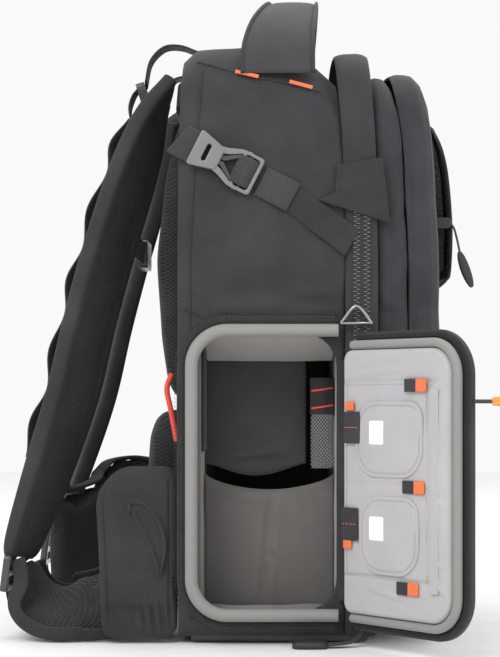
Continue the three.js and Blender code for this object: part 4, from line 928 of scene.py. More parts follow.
PIPING = fabric("piping", "weave", 0x9d9d99, 0x807f7c, 0.8, 0.2, 0.5, 0.25,
                settings={"Pitch": 0.9, "Rib": 0.2})
ZIP = fabric("zip_tape", "webbing", 0x1d1d1f, 0x0c0c0d, 0.75, 0.1, 0.6, 0.3, own_uv=False,
             settings={"Pitch": 1.0})
TEETH = hard("zip_coil", 0x2c2c2e, 0.35, coat=0.2)
ORANGE = fabric("orange", "weave", 0xe9733a, 0xcf5524, 0.6, 0.2, 0.4, 0.2, own_uv=False,
                settings={"Pitch": 0.8})
RED = fabric("red_trim", "weave", 0xf0513f, 0xc22f22, 0.6, 0.2, 0.4, 0.2, own_uv=False)
PLASTIC = hard("buckle_plastic", 0x3a3a3c, 0.3, coat=0.25)
DARK_PLASTIC = hard("black_plastic", 0x1d1d1f, 0.35, coat=0.2)
# The side buckle's socket, arms and frame: grey plastic made paler than the rest of the buckle, partly its
# own colour and partly painted highlight.
PALE_PLASTIC_AND_HIGHLIGHT = hard("side_buckle_plastic_and_highlight", 0x737375, 0.28, coat=0.3)
METAL = hard("wire", 0x9a9a9c, 0.3, 1.0)
THREAD = hard("thread", 0x3c3c3e, 0.6, grain=0.05)
PALE_THREAD = hard("pale_thread", 0xa5a3a5, 0.7, grain=0.05)
PRINT = hard("white_patch", 0xf4f4f4, 0.55, grain=0.05)
NET = hard("net_yarn", 0x9c9c9c, 0.7, grain=0.05)
RUBBER = hard("soft_pull", 0x2b2b2d, 0.6)


# Small repeats: one little template copied to many frames and joined into one piece.
def frames_on(path, facing, spacing, shift=(0.0, 0.0), skip=0.0):
    """Evenly spaced frames on a path: place, and rows (side, facing, along) of each frame.

    facing is the direction the repeats face, one for all or one a point; shift moves them along side
    and facing.
    """
    path = np.asarray(path, float)
    length = np.concatenate([[0], np.cumsum(np.linalg.norm(np.diff(path, axis=0), axis=1))])
    count = max(int((length[-1] - 2 * skip) / spacing), 2)
    at = np.linspace(skip + spacing / 2, length[-1] - skip - spacing / 2, count)
    place = np.stack([np.interp(at, length, path[:, k]) for k in range(3)], 1)
    ahead = np.stack([np.interp(at + 0.2, length, path[:, k]) for k in range(3)], 1)
    behind = np.stack([np.interp(at - 0.2, length, path[:, k]) for k in range(3)], 1)
    along = unit(ahead - behind)
    face = np.asarray(facing, float)
    if face.ndim == 2:
        face = np.stack([np.interp(at, length, face[:, k]) for k in range(3)], 1)
    side = unit(np.cross(along, np.broadcast_to(face, along.shape)))
    face = np.cross(side, along)
    return place + shift[0] * side + shift[1] * face, np.stack([side, face, along], 1)


def copies(name, template, faces, places, frames):
    """Joins copies of a template, whose x, y and z lie along side, facing and along of each frame."""
    points = places[:, None] + np.einsum("tk,nkj->ntj", template, frames)
    n = len(template)
    all_faces = (np.arange(len(places)) * n)[:, None, None] + np.asarray(faces)[None]
    return link_mesh(name, points.reshape(-1, 3), all_faces.reshape(-1, len(faces[0])))


def bead(width, height, length, sides=6):
    """A little closed grain: a section of a few sides, full in the middle and drawn in at both ends."""
    a = np.linspace(0, 2 * np.pi, sides, endpoint=False)
    rings = [(-0.5, 0.35), (-0.3, 1.0), (0.3, 1.0), (0.5, 0.35)]
    points = np.array([(0.5 * width * s * math.cos(k), 0.5 * height * s * math.sin(k), z * length)
                       for z, s in rings for k in a])
    faces = [list(f) for f in grid_faces(4, sides, True)]
    half = sides // 2
    ends = []
    for start, flip in ((0, True), (3 * sides, False)):
        for k in range(half - 1):
            quad = [start + k, start + k + 1, start + sides - 2 - k, start + sides - 1 - k]
            ends.append(quad[::-1] if flip else quad)
    return points, faces + ends


def stitch_line(name, path, facing, material, pitch=3.4, size=(0.55, 0.45, 2.2), lift=0.1, skip=0.0):
    """A row of thread stitches along a path."""
    places, frames = frames_on(path, facing, pitch, (0.0, lift), skip)
    template, faces = bead(*size)
    return finish_piece(copies(name, template, faces, places, frames), material)


def coil_line(name, path, facing, material, width=4.2, pitch=1.5, lift=0.3, nodes=()):
    """A closed zip's coil: two rows of rounded teeth that meet in the middle, half a pitch apart."""
    template, faces = bead(0.85, 1.1, width * 0.62)
    template = template[:, [2, 1, 0]]
    places, frames = frames_on(path, facing, pitch / 2, (0.0, lift))
    places = places + frames[:, 0] * np.where(np.arange(len(places)) % 2, width / 4, -width / 4)[:, None]
    piece = copies(name, template, faces, places, frames)
    return finish_piece(piece, material, nodes)


def ribbon(name, path, facing, width, thickness, material, nodes=(), count=0, lift=0.0):
    """A flat tape that lies along a path with its broad face outwards."""
    path = np.asarray(path, float)
    if count:
        path = smooth_path(path, count)
    along = unit(np.gradient(path, axis=0))
    face = np.broadcast_to(np.asarray(facing, float), path.shape)
    side = unit(np.cross(along, face))
    out = np.cross(side, along)
    profile = strap_profile(np.full(len(path), width), np.full(len(path), thickness), 16, 6.0)
    points = path[:, None] + profile[..., :1] * side[:, None] + (profile[..., 1:] + lift) * out[:, None]
    rows, columns = points.shape[:2]
    length = np.concatenate([[0], np.cumsum(np.linalg.norm(np.diff(path, axis=0), axis=1))])
    uv = np.stack([profile[..., 0], np.broadcast_to(length[:, None], (rows, columns))], -1).reshape(-1, 2)
    faces = list(grid_faces(rows, columns, True)) + [tuple(range(columns)),
                                                     tuple(range(rows * columns - 1, (rows - 1) * columns - 1,
                                                                 -1))]
    piece = tidy(link_mesh(name, points.reshape(-1, 3), faces, uv))
    return finish_piece(piece, material, nodes)


def soft_plate(name, outline, y_back, thickness, edge, material, nodes=(), puff=0.0, relief=None,
               rings=16,
               place=None):
    """A plate on the near side: outline in x and z, its broad face towards -y unless place says where."""
    def stand(points):
        return np.stack([points[:, 0], y_back - points[:, 2], points[:, 1]], 1)
    verts, faces, uv = pillow(np.asarray(outline, float), thickness, edge, rings, puff, relief,
                              place or stand)
    return finish_piece(tidy(link_mesh(name, verts, faces, uv)), material, nodes)


def rounded_polygon(corners, radius, count):
    """A polygon with each corner cut by a small curve, sampled evenly by length."""
    p = np.asarray(corners, float)
    points = []
    for k in range(len(p)):
        before, here, after = p[k - 1], p[k], p[(k + 1) % len(p)]
        r = min(radius, 0.45 * np.linalg.norm(before - here), 0.45 * np.linalg.norm(after - here))
        a = here + unit(before - here) * r
        b = here + unit(after - here) * r
        t = np.linspace(0, 1, 7)[:, None]
        points.append((1 - t) ** 2 * a + 2 * t * (1 - t) * here + t**2 * b)
    ring = np.vstack(points + [points[0][:1]])
    length = np.concatenate([[0], np.cumsum(np.linalg.norm(np.diff(ring, axis=0), axis=1))])
    even = np.linspace(0, length[-1], count, endpoint=False)
    return np.stack([np.interp(even, length, ring[:, k]) for k in range(2)], 1)


def inside_distance(x, z, rect, radii):
    """Distance in from a rounded rectangle's outline; the radii run from low left, against the clock."""
    x0, x1, z0, z1 = rect
    cx, cz = (x0 + x1) / 2, (z0 + z1) / 2
    low, right = z < cz, x > cx
    r = np.where(low & ~right, radii[0], np.where(low, radii[1], np.where(right, radii[2], radii[3])))
    qx = np.abs(x - cx) - (x1 - x0) / 2 + r
    qz = np.abs(z - cz) - (z1 - z0) / 2 + r
    outside = np.hypot(np.maximum(qx, 0), np.maximum(qz, 0))
    return r - outside - np.minimum(np.maximum(qx, qz), 0)


def eased(count, strength=0.6):
    """Shares from 0 to 1 that lie closer together near both ends."""
    s = np.linspace(0, 1, count)
    return (1 - strength) * s + strength * (0.5 - 0.5 * np.cos(np.pi * s))


def rounded_sheet(name, rect, radii, count, thickness, edge, stand, relief=None, puff=0.0):
    """A soft plate over a rounded rectangle, on a grid of rows that end on its outline.

    The front rises as a quarter circle over its edge; puff raises the middle; relief(x, z, inside)
    adds seams and stitching. stand turns (x, z, height) into the pack's coordinates.
    """
    x0, x1, z0, z1 = rect
    u, v = np.meshgrid(eased(count[0]), eased(count[1]))
    z = z0 + (z1 - z0) * v

    def cut_in(r_low, r_high):
        low = np.clip(r_low - (z - z0), 0, None)
        high = np.clip(r_high - (z1 - z), 0, None)
        return (r_low - np.sqrt(np.clip(r_low**2 - low**2, 0, None)) + r_high
                - np.sqrt(np.clip(r_high**2 - high**2, 0, None)))

    left = x0 + cut_in(radii[0], radii[3])
    right = x1 - cut_in(radii[1], radii[2])
    x = left + (right - left) * u
    inside = np.clip(inside_distance(x, z, rect, radii), 0, None)
    near = np.clip(inside / edge, 0, 1)
    height = thickness - edge + edge * np.sqrt(np.clip(1 - (1 - near) ** 2, 0, 1))
    across = np.clip(1 - ((x - (x0 + x1) / 2) / ((x1 - x0) / 2)) ** 2, 0, 1)
    up = np.clip(1 - ((z - (z0 + z1) / 2) / ((z1 - z0) / 2)) ** 2, 0, 1)
    height = height + puff * across * up
    if relief is not None:
        height = height + relief(x, z, inside) * near
    front = np.stack([x, z, height], -1).reshape(-1, 3)
    back = front * (1, 1, 0)
    rows, columns = count[1], count[0]
    half = rows * columns
    faces = list(grid_faces(rows, columns)) + list(grid_faces(rows, columns, start=half)[:, ::-1])
    rim = np.concatenate([np.arange(columns), np.arange(1, rows) * columns + columns - 1,
                          (rows - 1) * columns + np.arange(columns - 2, -1, -1),
                          np.arange(rows - 2, 0, -1) * columns])
    nxt = np.roll(rim, -1)
    faces += list(np.stack([rim, rim + half, nxt + half, nxt], 1))
    flat = np.vstack([front, back])
    return tidy(link_mesh(name, stand(flat), faces, flat[:, :2]))


def groove(distance, width, depth):
    """A sewn-down line: a narrow valley about distance zero."""
    return -depth * np.exp(-(distance / width) ** 2)


def within(value, low, high, soft=3.0):
    """1 between low and high, falling off over soft at each end."""
    return np.clip((value - low) / soft + 0.5, 0, 1) * np.clip((high - value) / soft + 0.5, 0, 1)


# The door's inner face, from the photograph: seams, the elastic's edge and two round card pockets.
LINING_BACK = -0.4
LINING_THICK = 8.0
LINING_RECT = (DOOR_START + 2, DOOR_WIDTH - 13.8, DOOR_LOW + 13.8, DOOR_HIGH - 13.8)
LINING_RADII = (8.0, 20.2, 20.2, 8.0)
SEAM_HIGH = 205.0
SEAM_LOW = 57.0
SEAM_MIDDLE = 127.0
ELASTIC_U = 97.0
CARD_POCKETS = (  # name, node, left, right, low, high
    ("card_pocket_high", "card_pocket_upper", 22.0, 92.0, 133.0, 190.0),
    ("card_pocket_low", "card_pocket_lower", 26.0, 88.0, 60.0, 119.0))
CARD_RADII = (22.0, 22.0, 14.0, 22.0)
DOOR_IN = on_door((0, -1, 0)) - on_door((0, 0, 0))


def stand_inside(base):
    """Door coordinates (along, up, height) of a plate whose back is at base, facing inwards."""
    return lambda p: on_door(np.stack([p[:, 0], base - p[:, 2], p[:, 1]], 1))


def lining_relief(x, z, inside):
    seams = groove(z - SEAM_HIGH, 1.2, 1.3) * within(x, 0, 104) + groove(z - SEAM_LOW, 1.2, 1.3) * within(x,
            0, 110)
    seams = seams + groove(z - SEAM_MIDDLE, 1.1, 0.7) * within(x, 0, ELASTIC_U)
    seams = seams + groove(x - ELASTIC_U, 1.2, 1.0) * within(z, SEAM_LOW, SEAM_HIGH)
    seams = seams + groove(x - 9, 1.0, 0.8) * within(z, SEAM_LOW, SEAM_HIGH)
    pillow_up = 1.4 * np.sin(np.pi * np.clip((x - ELASTIC_U) / 20, 0, 1)) * within(z, 50, 212, 12)
    flat = np.stack([x, z * 0, z], -1)
    soft = 0.7 * ripple(flat, 70, 81) + 0.3 * ripple(flat, 22, 82)
    tucks = sum(crease(x, z, a, b, 2.4, h) for a, b, h in (
        ((98, 66), (116, 48), 1.2), ((99, 74), (117, 70), 0.8), ((98, 196), (116, 204), 0.9),
        ((20, 210), (70, 214), 0.7), ((30, 50), (80, 42), 0.7), ((102, 120), (117, 112), 0.7)))
    return seams + pillow_up + (soft + tucks) * np.clip(inside / 8, 0, 1)


def door_path(points, face):
    """A path on the door's inner face: (along, up) pairs at the given height over the lining's back."""
    p = np.asarray(points, float)
    return on_door(np.stack([p[:, 0], np.full(len(p), LINING_BACK - face), p[:, 1]], 1))


def make_door():
    """The open door: outer shell, piped padded lining, its pockets, patches and the zip."""
    rect = (DOOR_START, DOOR_WIDTH - 6.4, DOOR_LOW + 6.4, DOOR_HIGH - 6.4)
    radii = (10.0, 27.6, 27.6, 10.0)
    outside = lambda p: on_door(np.stack([p[:, 0], p[:, 2], p[:, 1]], 1))
    shell = rounded_sheet("door_shell_body", rect, radii, (70, 110), 5, 2.5, outside,
                          lambda x, z, d: 0.5 * ripple(np.stack([x, x * 0, z], -1), 60, 83), 1.5)
    finish_piece(shell, SHELL, ["door_shell"])
    lining = rounded_sheet("door_lining_body", LINING_RECT, LINING_RADII, (100, 150), LINING_THICK, 3.5,
                           stand_inside(LINING_BACK), lining_relief, 1.0)
    finish_piece(lining, LINING, ["door_lining"])

    rope = edge_path(9.9, 200, DOOR_START + 8)
    line = on_door(np.stack([rope[:, 0], np.full(len(rope), -3.9), rope[:, 1]], 1))
    finish_piece(rope_piece("door_piping_rope", line, 3.45, 16, 0), PIPING, ["door_piping"])
    seam_line = on_door(np.stack([rope[:, 0] * 1.0, np.full(len(rope), -7.2), rope[:, 1]], 1))
    stitch_line("door_piping_stitches", seam_line, DOOR_IN, PALE_THREAD, 3.2, (0.45, 0.35, 1.9),
                -0.1)

    tape = edge_path(3.6, 200, DOOR_START + 8)
    tape_line = on_door(np.stack([tape[:, 0], np.full(len(tape), 2.0), tape[:, 1]], 1))
    out = on_door(np.stack([np.gradient(tape[:, 1]), tape[:, 0] * 0, -np.gradient(tape[:, 0])],
                           1)) - on_door((0, 0, 0))
    if (out[50] @ (tape_line[50] - tape_line.mean(0))) < 0:
        out = -out
    ribbon("door_zip_tape", tape_line, out, 5.6, 6.8, ZIP, ["door_zip"])
    coil_line("door_zip_coil", tape_line, out, TEETH, 4.0, 1.7, 2.9)
    coil_line("door_zip_coil_face", tape_line, DOOR_IN, TEETH, 3.8, 1.7, 3.0)

    for name, node, left, right, low, high in CARD_POCKETS:
        def relief(x, z, inside, low=low, high=high):
            flat = np.stack([x, z * 0, z], -1)
            return groove(inside - 3.2, 0.7, 0.45) + 0.25 * ripple(flat, 26, 84) + groove(z - high + 8, 1.0,
                                                                                          0.3)
        base = LINING_BACK - LINING_THICK - 0.7
        pocket = rounded_sheet(name, (left, right, low, high), CARD_RADII, (66, 60), 1.5, 0.7,
                               stand_inside(base),
                               relief, 0.9)
        finish_piece(pocket, LINING, [node])
        ring = rounded_outline(left + 3.2, right - 3.2, low + 3.2, high - 3.2, [r - 3.2 for r in CARD_RADII],
                               260)
        ring = np.roll(ring, -150, 0)[:235]
        stitch_line(name + "_stitches", door_path(ring, LINING_THICK + 2.6), DOOR_IN, PALE_THREAD,
                    2.8,
                    (0.5, 0.4, 1.7), 0.0)
        patch_low = (low + high) / 2 - 4
        soft = rounded_sheet(name + "_patch", (38, 53, patch_low, patch_low + 18), (1.5,) * 4, (20, 24), 0.6,
                             0.3,
                             stand_inside(base - 2.0))
        finish_piece(soft, PRINT)

    for name, points in (
            ("seam_high", [(8, SEAM_HIGH - 2.2), (104, SEAM_HIGH - 2.2)]),
            ("seam_low", [(8, SEAM_LOW + 2.2), (110, SEAM_LOW + 2.2)]),
            ("seam_elastic", [(ELASTIC_U - 2.2, SEAM_LOW), (ELASTIC_U - 2.2, SEAM_HIGH)]),
            ("seam_hinge", [(11.2, SEAM_LOW), (11.2, SEAM_HIGH)])):
        path = np.linspace(points[0], points[1], 60)
        stitch_line("door_" + name, door_path(path, LINING_THICK + 0.6), DOOR_IN, PALE_THREAD, 3.2,
                    (0.5, 0.4, 2.0), 0.2)
    finish_piece(rounded_sheet("door_elastic_band", (100, 108, 50, 199), (1,) * 4, (16, 90), 1.3, 0.6,
                               stand_inside(LINING_BACK - LINING_THICK - 1.6),
                               lambda x, z, d: 0.25 * np.sin(z * 1.9)), LINING, ["door_elastic"])


def webbing_tab(name, u, z, wide, high, face, material, nodes=(), relief=None):
    """A short tab of webbing on the door's inner face."""
    tab = rounded_sheet(name, (u, u + wide, z, z + high), (0.6,) * 4,
                        (max(int(wide), 10), max(int(high), 10)), 1.1,
                        0.5, stand_inside(face), relief)
    return finish_piece(tab, material, nodes)


def make_tabs():
    """The five tabs: dark webbing with an orange end, or a square with a line of orange thread."""
    face = LINING_BACK - LINING_THICK - 1.8
    for name, u, z, level, node in (("tab_high", 74, 197, face, "tab_upper_edge"),
                                    ("tab_mid", 72, 122, face, "tab_middle"),
                                    ("tab_low", 66, 47, face, "tab_lower_edge")):
        webbing_tab(name + "_dark", u, z, 11.2, 9.6, level, WEB_NODE_DARK)
        webbing_tab(name + "_end", u + 11.4, z, 10.8, 9.6, level, ORANGE, [node])
    for name, u, z, tall, tag, node in (("square_high", 10, 158, 24, 183, "tab_upper_hinge"),
                                        ("square_low", 7.5, 84, 25, 77.5, "tab_lower_hinge")):
        webbing_tab(name, u, z, 17.5, tall, face - 0.2, WEB_NODE_DARK, [node])
        webbing_tab(name + "_tag", u + 1.5, tag, 9.0, 6.5, face, ORANGE)
        middle = z + tall / 2
        line = np.linspace((u + 1.5, middle), (u + 16, middle), 12)
        stitch_line(name + "_thread", door_path(line, LINING_THICK + 3.4), DOOR_IN, ORANGE, 2.9,
                    (0.7, 0.5, 2.1), 0.0)


WEB_NODE_DARK = fabric("tab_webbing", "webbing", 0x28282b, 0x151517, 0.75, 0.1, 0.5, 0.25)


# The near side: opening, zips, compression strap and buckle.
OUT = np.array([0.0, -1.0, 0.0])
BUCKLE_PLACE = (-64.0, 374.0)
BUCKLE_TURN = math.radians(27)
SIDE_SKIN = -154.4


def on_side(path, y):
    """(x, z) pairs on the near side at depth y."""
    p = np.asarray(path, float)
    return np.stack([p[:, 0], np.full(len(p), float(y)), p[:, 1]], 1)


def make_opening():
    """Round the side opening: the piping, the zip tape with its coil, stitching and the inner lip."""
    e = opening_path(2, 300, 22)
    finish_piece(rope_piece("opening_piping_rope", on_side(e, -155.2), 5.0, 20, 0), PIPING,
                 ["opening_piping"])
    seam_line = opening_path(-2.2, 300, 20)
    stitch_line("opening_piping_stitches", on_side(seam_line, -156.6), OUT, PALE_THREAD, 3.0,
                (0.45, 0.4, 1.8), 0.0)
    tape = opening_path(10.4, 300, 20)
    ribbon("opening_zip_tape", on_side(tape, -151.6), OUT, 6.6, 1.4, ZIP, ["opening_zip"])
    coil_line("opening_zip_coil", on_side(opening_path(8.6, 300, 21), -151.6), OUT, TEETH, 3.4, 1.7,
              0.9)
    for out, name in ((12.9, "outer"), (15.0, "second")):
        stitch_line("opening_stitches_" + name,
                    on_side(opening_path(out, 300, 19), -151.6 if out < 13.5 else -150.6),
                    OUT, THREAD, 3.2, (0.5, 0.45, 2.0), 0.9)


def make_compartment():
    """The padded tub behind the opening: a soft lip, walls, floor and ceiling, open to the door side."""
    x0, x1, z0, z1, near, depth = -89.0, 24.0, 17.8, 253.0, -138.0, 262.0
    rings = []
    shares = np.linspace(0, 1, 36)
    for s in shares:
        inset = 3.0 + 0.6 * math.sin(s * 9)
        ring = rounded_outline(x0 + inset, x1 - inset, z0 + inset, z1 - inset, [7, 3, 3, 7], 220)
        rings.append(np.stack([ring[:, 0], np.full(len(ring), near + depth * s * 0.985), ring[:, 1]], 1))
    grid = np.array(rings)
    centre = np.array([(x0 + x1) / 2, 0, (z0 + z1) / 2])
    inward = unit((centre - grid) * (1, 0, 1))
    grid = grid + inward * (0.6 * ripple(grid, 60, 91))[..., None] * np.clip(shares * 12, 0, 1)[:, None, None]
    closing = [grid[-1] + (centre * (1, 0, 1) + grid[-1] * (0, 1, 0) - grid[-1]) * t for t in (0.35, 0.7,
                                                                                               1.0)]
    outer = np.array([np.stack([r[:, 0], np.full(len(r), y), r[:, 1]], 1) for r, y in (
        (rounded_outline(x0, x1, z0, z1, [4] * 4, 220), near), (rounded_outline(x0, x1, z0, z1, [4] * 4, 220),
                                                                near + depth))])
    back = [outer[1] + (centre * (1, 0, 1) + outer[1] * (0, 1, 0) - outer[1]) * t for t in (0.5, 1.0)]
    rows = np.concatenate([np.array(back)[::-1], outer[::-1], grid, np.array(closing)])
    uv = ring_uv(rows)
    tub = tidy(link_mesh("compartment_tub", rows.reshape(-1, 3), grid_faces(len(rows), 220, True), uv), 0.02)
    # The tub, the light divider and the floor pad take the darkened lining, which is painted shade.
    finish_piece(tub, INNER_PAINTED_SHADE, ["compartment_lining"])
    finish_piece(padded_wall("divider_dark_wall", -85.6, -2.6, 139, 249, -80, 4.5, 0, 10, 71, (
        ((-80, 145), (-10, 149), 3.2, 2.6), ((-82, 157), (-40, 152), 3.0, 1.8),
        ((-60, 142), (-12, 156), 2.6, 1.6),
        ((-78, 240), (-20, 236), 5.0, 0.6))), DARK, ["divider_dark"])
    finish_piece(padded_wall("divider_light_wall", -85.6, 20.6, 21.5, 132, -92, 3.5, 14, 0, 72, (
        ((-30, 122), (-38, 24), 4.0, -1.6), ((-20, 116), (18, 122), 2.2, 1.0),
        ((-70, 116), (-36, 108), 4.0, 0.8),
        ((-34, 70), (-28, 60), 3.0, -1.2))), INNER_PAINTED_SHADE, ["divider_light"])
    side = rounded_sheet("divider_side_strip", (-130, -84, 150, 246), (3,) * 4, (24, 50), 2.4, 1.2,
                         lambda p: np.stack([-85.8 + p[:, 2], p[:, 0], p[:, 1]], 1))
    finish_piece(side, DARK_STRIP)
    ceiling = rounded_sheet("ceiling_pad", (-84, 20, -134, -84), (3,) * 4, (60, 30), 5.0, 2.4,
                            lambda p: np.stack([p[:, 0], p[:, 1] - 2, 248 - p[:, 2] - 0.42 * (p[:, 1] + 134)],
                                               1),
                            lambda x, z, d: 0.6 * ripple(np.stack([x, z, x * 0], -1), 50, 92), 1.5)
    finish_piece(ceiling, CEILING)
    floor_pad = rounded_sheet("floor_pad", (-84, 20, -134, -94), (3,) * 4, (60, 30), 4.0, 2.0,
                              lambda p: np.stack([p[:, 0], p[:, 1], 21.2 + p[:, 2]], 1),
                              lambda x, z, d: 0.8 * ripple(np.stack([x, z, x * 0], -1), 40, 93), 1.2)
    finish_piece(floor_pad, INNER_PAINTED_SHADE)


CEILING = fabric("ceiling_lining", "nap", 0xb5b1ac, 0x9b9792, 0.95, 0.35, 0.5, 0.3)
DARK_STRIP = fabric("divider_edge", "nap", 0x29282b, 0x1a191b, 0.9, 0.1, 0.4, 0.2)


def make_net_pocket():
    """The net pocket at the compartment's right: knotless netting under a band with two red stripes."""
    x0, x1, z0, z1, y = 0.6, 20.4, 135.0, 210.0, -101.0
    yarns, faces = [], []
    step = 3.1

    def yarn(a, b):
        path = np.linspace(a, b, 8)
        bow = np.sin(np.linspace(0, np.pi, 8)) * 0.5
        path = np.stack([path[:, 0], y - 3.2 * np.sin(np.pi * (path[:, 0] - x0) / (x1 - x0)) - bow * 0,
                         path[:, 1]], 1)
        verts, new = sweep(path, (0, 1, 0.02), round_profile(np.full(8, 0.32), 5, 8))
        start = sum(len(v) for v in yarns)
        yarns.append(verts)
        faces.extend([[start + int(k) for k in f] for f in new])

    for k in range(-8, 34):
        base = z0 + k * step
        for sign in (1, -1):
            a = np.array([x0 + 0.6, base if sign > 0 else base + (x1 - x0) * 1.2])
            b = np.array([x1 - 0.6, base + (x1 - x0) * 1.2 if sign > 0 else base])
            t0, t1 = 0.0, 1.0
            for limit, below in ((z0 + 0.8, True), (z1 - 30, False)):
                slope = b[1] - a[1]
                cross = (limit - a[1]) / slope
                if (slope > 0) == below:
                    t0 = max(t0, cross)
                else:
                    t1 = min(t1, cross)
            if t1 - t0 > 0.12:
                yarn(a + (b - a) * t0, a + (b - a) * t1)
    finish_piece(link_mesh("net_pocket_netting", np.vstack(yarns), faces), NET, ["mesh_pocket"])
    band = rounded_sheet("net_pocket_band", (x0, x1, z1 - 31, z1 - 1), (1,) * 4, (20, 30), 1.6, 0.8,
                         lambda p: np.stack([p[:, 0], y + 1 - p[:, 2] - 3.0 * np.sin(
                             np.pi * np.clip((p[:, 0] - x0) / (x1 - x0), 0, 1)), p[:, 1]], 1))
    finish_piece(band, WEB_NODE_DARK)
    for k, z in enumerate((z1 - 12, z1 - 26)):
        path = np.array([(x, y - 1.0 - 3.0 * math.sin(math.pi * (x - x0) / (x1 - x0)), z + 0.15 * (x - x0))
                         for x in np.linspace(x0 + 1, x1 - 1, 16)])
        ribbon("net_pocket_stripe_%d" % k, path, OUT, 1.6, 0.6, RED)


def tilted(points):
    """Buckle coordinates (along, up, height) on the near side, turned down to the front."""
    p = np.asarray(points, float)
    c, s = math.cos(BUCKLE_TURN), math.sin(BUCKLE_TURN)
    return np.stack([BUCKLE_PLACE[0] + p[:, 0] * c + p[:, 1] * s, SIDE_SKIN - p[:, 2],
                     BUCKLE_PLACE[1] - p[:, 0] * s + p[:, 1] * c], 1)


def bar(name, outline, holes, base, thickness, edge, stand, material, nodes=()):
    """A moulded plate with holes and rounded edges, by a bevel on an extruded outline."""
    work = bmesh.new()
    loops = [np.asarray(outline, float)] + [np.asarray(h, float) for h in holes]
    for loop in loops:
        verts = [work.verts.new((float(a), float(b), 0.0)) for a, b in loop]
        for k in range(len(verts)):
            work.edges.new((verts[k - 1], verts[k]))
    bmesh.ops.triangle_fill(work, use_beauty=True, use_dissolve=False, edges=work.edges[:])
    made = bmesh.ops.extrude_face_region(work, geom=work.faces[:])
    top = [v for v in made["geom"] if isinstance(v, bmesh.types.BMVert)]
    bmesh.ops.translate(work, verts=top, vec=(0, 0, thickness))
    bmesh.ops.dissolve_limit(work, angle_limit=0.02, verts=work.verts[:], edges=work.edges[:])
    rims = [e for e in work.edges if len(e.link_faces) == 2 and e.calc_face_angle(0) > 0.9]
    bmesh.ops.bevel(work, geom=rims, offset=edge, segments=3, profile=0.6, affect="EDGES", clamp_overlap=True)
    bmesh.ops.recalc_face_normals(work, faces=work.faces)
    points = np.array([v.co[:] for v in work.verts])
    points[:, 2] += base
    index = {v: k for k, v in enumerate(work.verts)}
    faces = [[index[v] for v in f.verts] for f in work.faces]
    work.free()
    piece = tidy(link_mesh(name, stand(points), faces))
    return finish_piece(piece, material, nodes)


def make_buckle():
    """The side-release buckle: a socket, two sprung arms with a gap between, and the strap's frame."""
    socket = rounded_polygon([(-29, -15), (-17, -12), (-6, -9), (-6, 9), (-17, 12), (-29, 15)], 3.0, 60)
    slot = rounded_polygon([(-20, -7), (-16.5, -7), (-16.5, 7), (-20, 7)], 1.2, 24)
    # Socket, arms and frame take the paler plastic, which is partly painted highlight.
    bar("buckle_socket", socket, [slot], 0.0, 7.0, 1.6, tilted, PALE_PLASTIC_AND_HIGHLIGHT, ["side_buckle"])
    for sign, label in ((1, "upper"), (-1, "lower")):
        arm = [(-10, 4 * sign), (-2, 6.5 * sign), (8, 12 * sign), (15, 13.2 * sign), (15, 16.2 * sign),
               (6, 15.2 * sign), (-4, 11.0 * sign), (-11, 9.6 * sign)]
        bar("buckle_arm_" + label, rounded_polygon(arm, 2.0, 60), [], 0.8, 5.2, 1.4, tilted, PALE_PLASTIC_AND_HIGHLIGHT)
        bar("buckle_prong_" + label, rounded_polygon([(-9, 0.4 * sign), (-3, 0.4 * sign), (9, 9.5 * sign),
                                                      (7, 11.5 * sign), (-4, 4.4 * sign), (-9, 3.6 * sign)],
                                                      1.0, 44),
            [], 1.6, 3.2, 0.9, tilted, PLASTIC)
    frame_outline = rounded_polygon([(8, -15.5), (25.5, -15.5), (25.5, 15.5), (8, 15.5)], 3.0, 60)
    window = rounded_polygon([(10.5, -12.6), (22.6, -12.6), (22.6, 12.6), (10.5, 12.6)], 1.5, 44)
    bar("buckle_frame", frame_outline, [window], 0.4, 5.4, 1.3, tilted, PALE_PLASTIC_AND_HIGHLIGHT)
    bar("buckle_crossbar", rounded_polygon([(14, -13.4), (17, -13.4), (17, 13.4), (14, 13.4)], 1.0, 30), [],
        1.6, 3.0,
        1.0, tilted, DARK_PLASTIC)
    roll = smooth_path([(6.5, 0, 2.6), (9, 0, 5.6), (14, 0, 7.0), (19, 0, 6.4), (22.5, 0, 3.2), (21, 0, 0.8)],
                       40)
    side = np.zeros((40, 3)) + (0, 1, 0)
    verts, faces = sweep(roll, side, strap_profile(np.full(40, 23.0), np.full(40, 1.8), 20, 5.0))
    length = np.repeat(np.linspace(0, 30, 40), 20)
    uv = np.vstack([np.stack([np.tile(np.linspace(-11, 11, 20), 40), length], 1), [[0, 0], [0, 30]]])
    finish_piece(tidy(link_mesh("buckle_webbing_roll", tilted(verts), faces, uv)), WEB)
    anchor = [(-47, -13), (-28, -13), (-28, 13), (-40, 13)]
    verts, faces, uv = pillow(rounded_polygon(anchor, 1.0, 120), 2.2, 0.8, 8)
    piece = tidy(link_mesh("anchor_webbing", tilted(verts), faces, uv))
    finish_piece(piece, WEB, ["side_strap"])


# The harness and belt: stuffed parts, their bindings, webbings, buckles and seams.
# Simulated pads: voxel size, how far a pad or a wing may swell, and where the pads' sewn channels run.
SIM_VOXEL = 5.0
PAD_SWELL = 6
WING_SWELL = 5
UPPER_CHANNELS = (30, 72)
LUMBAR_CHANNELS = (40,)
# Strap webbing: its stand off the strap's middle, the height of its humps and its shift to the near edge.
WEB_STAND = 8.6
WEB_HUMP = 7
WEB_SHIFT = 14
STRAP_QUILTS = (112, 160, 212, 268, 324, 374, 412)
HANDLE_ROWS = (  # y, z, x, width, share of the thickness, from the side to the top
    (-152.6, 445, -25, 57, 0.16), (-150.6, 455, -25, 57, 0.2), (-144, 469, -24.5, 56, 0.3),
    (-126, 486, -22, 52, 0.7), (-98, 501, -18, 48, 1), (-56, 517, -14, 43, 1), (-20, 523, -12.5, 41, 1))


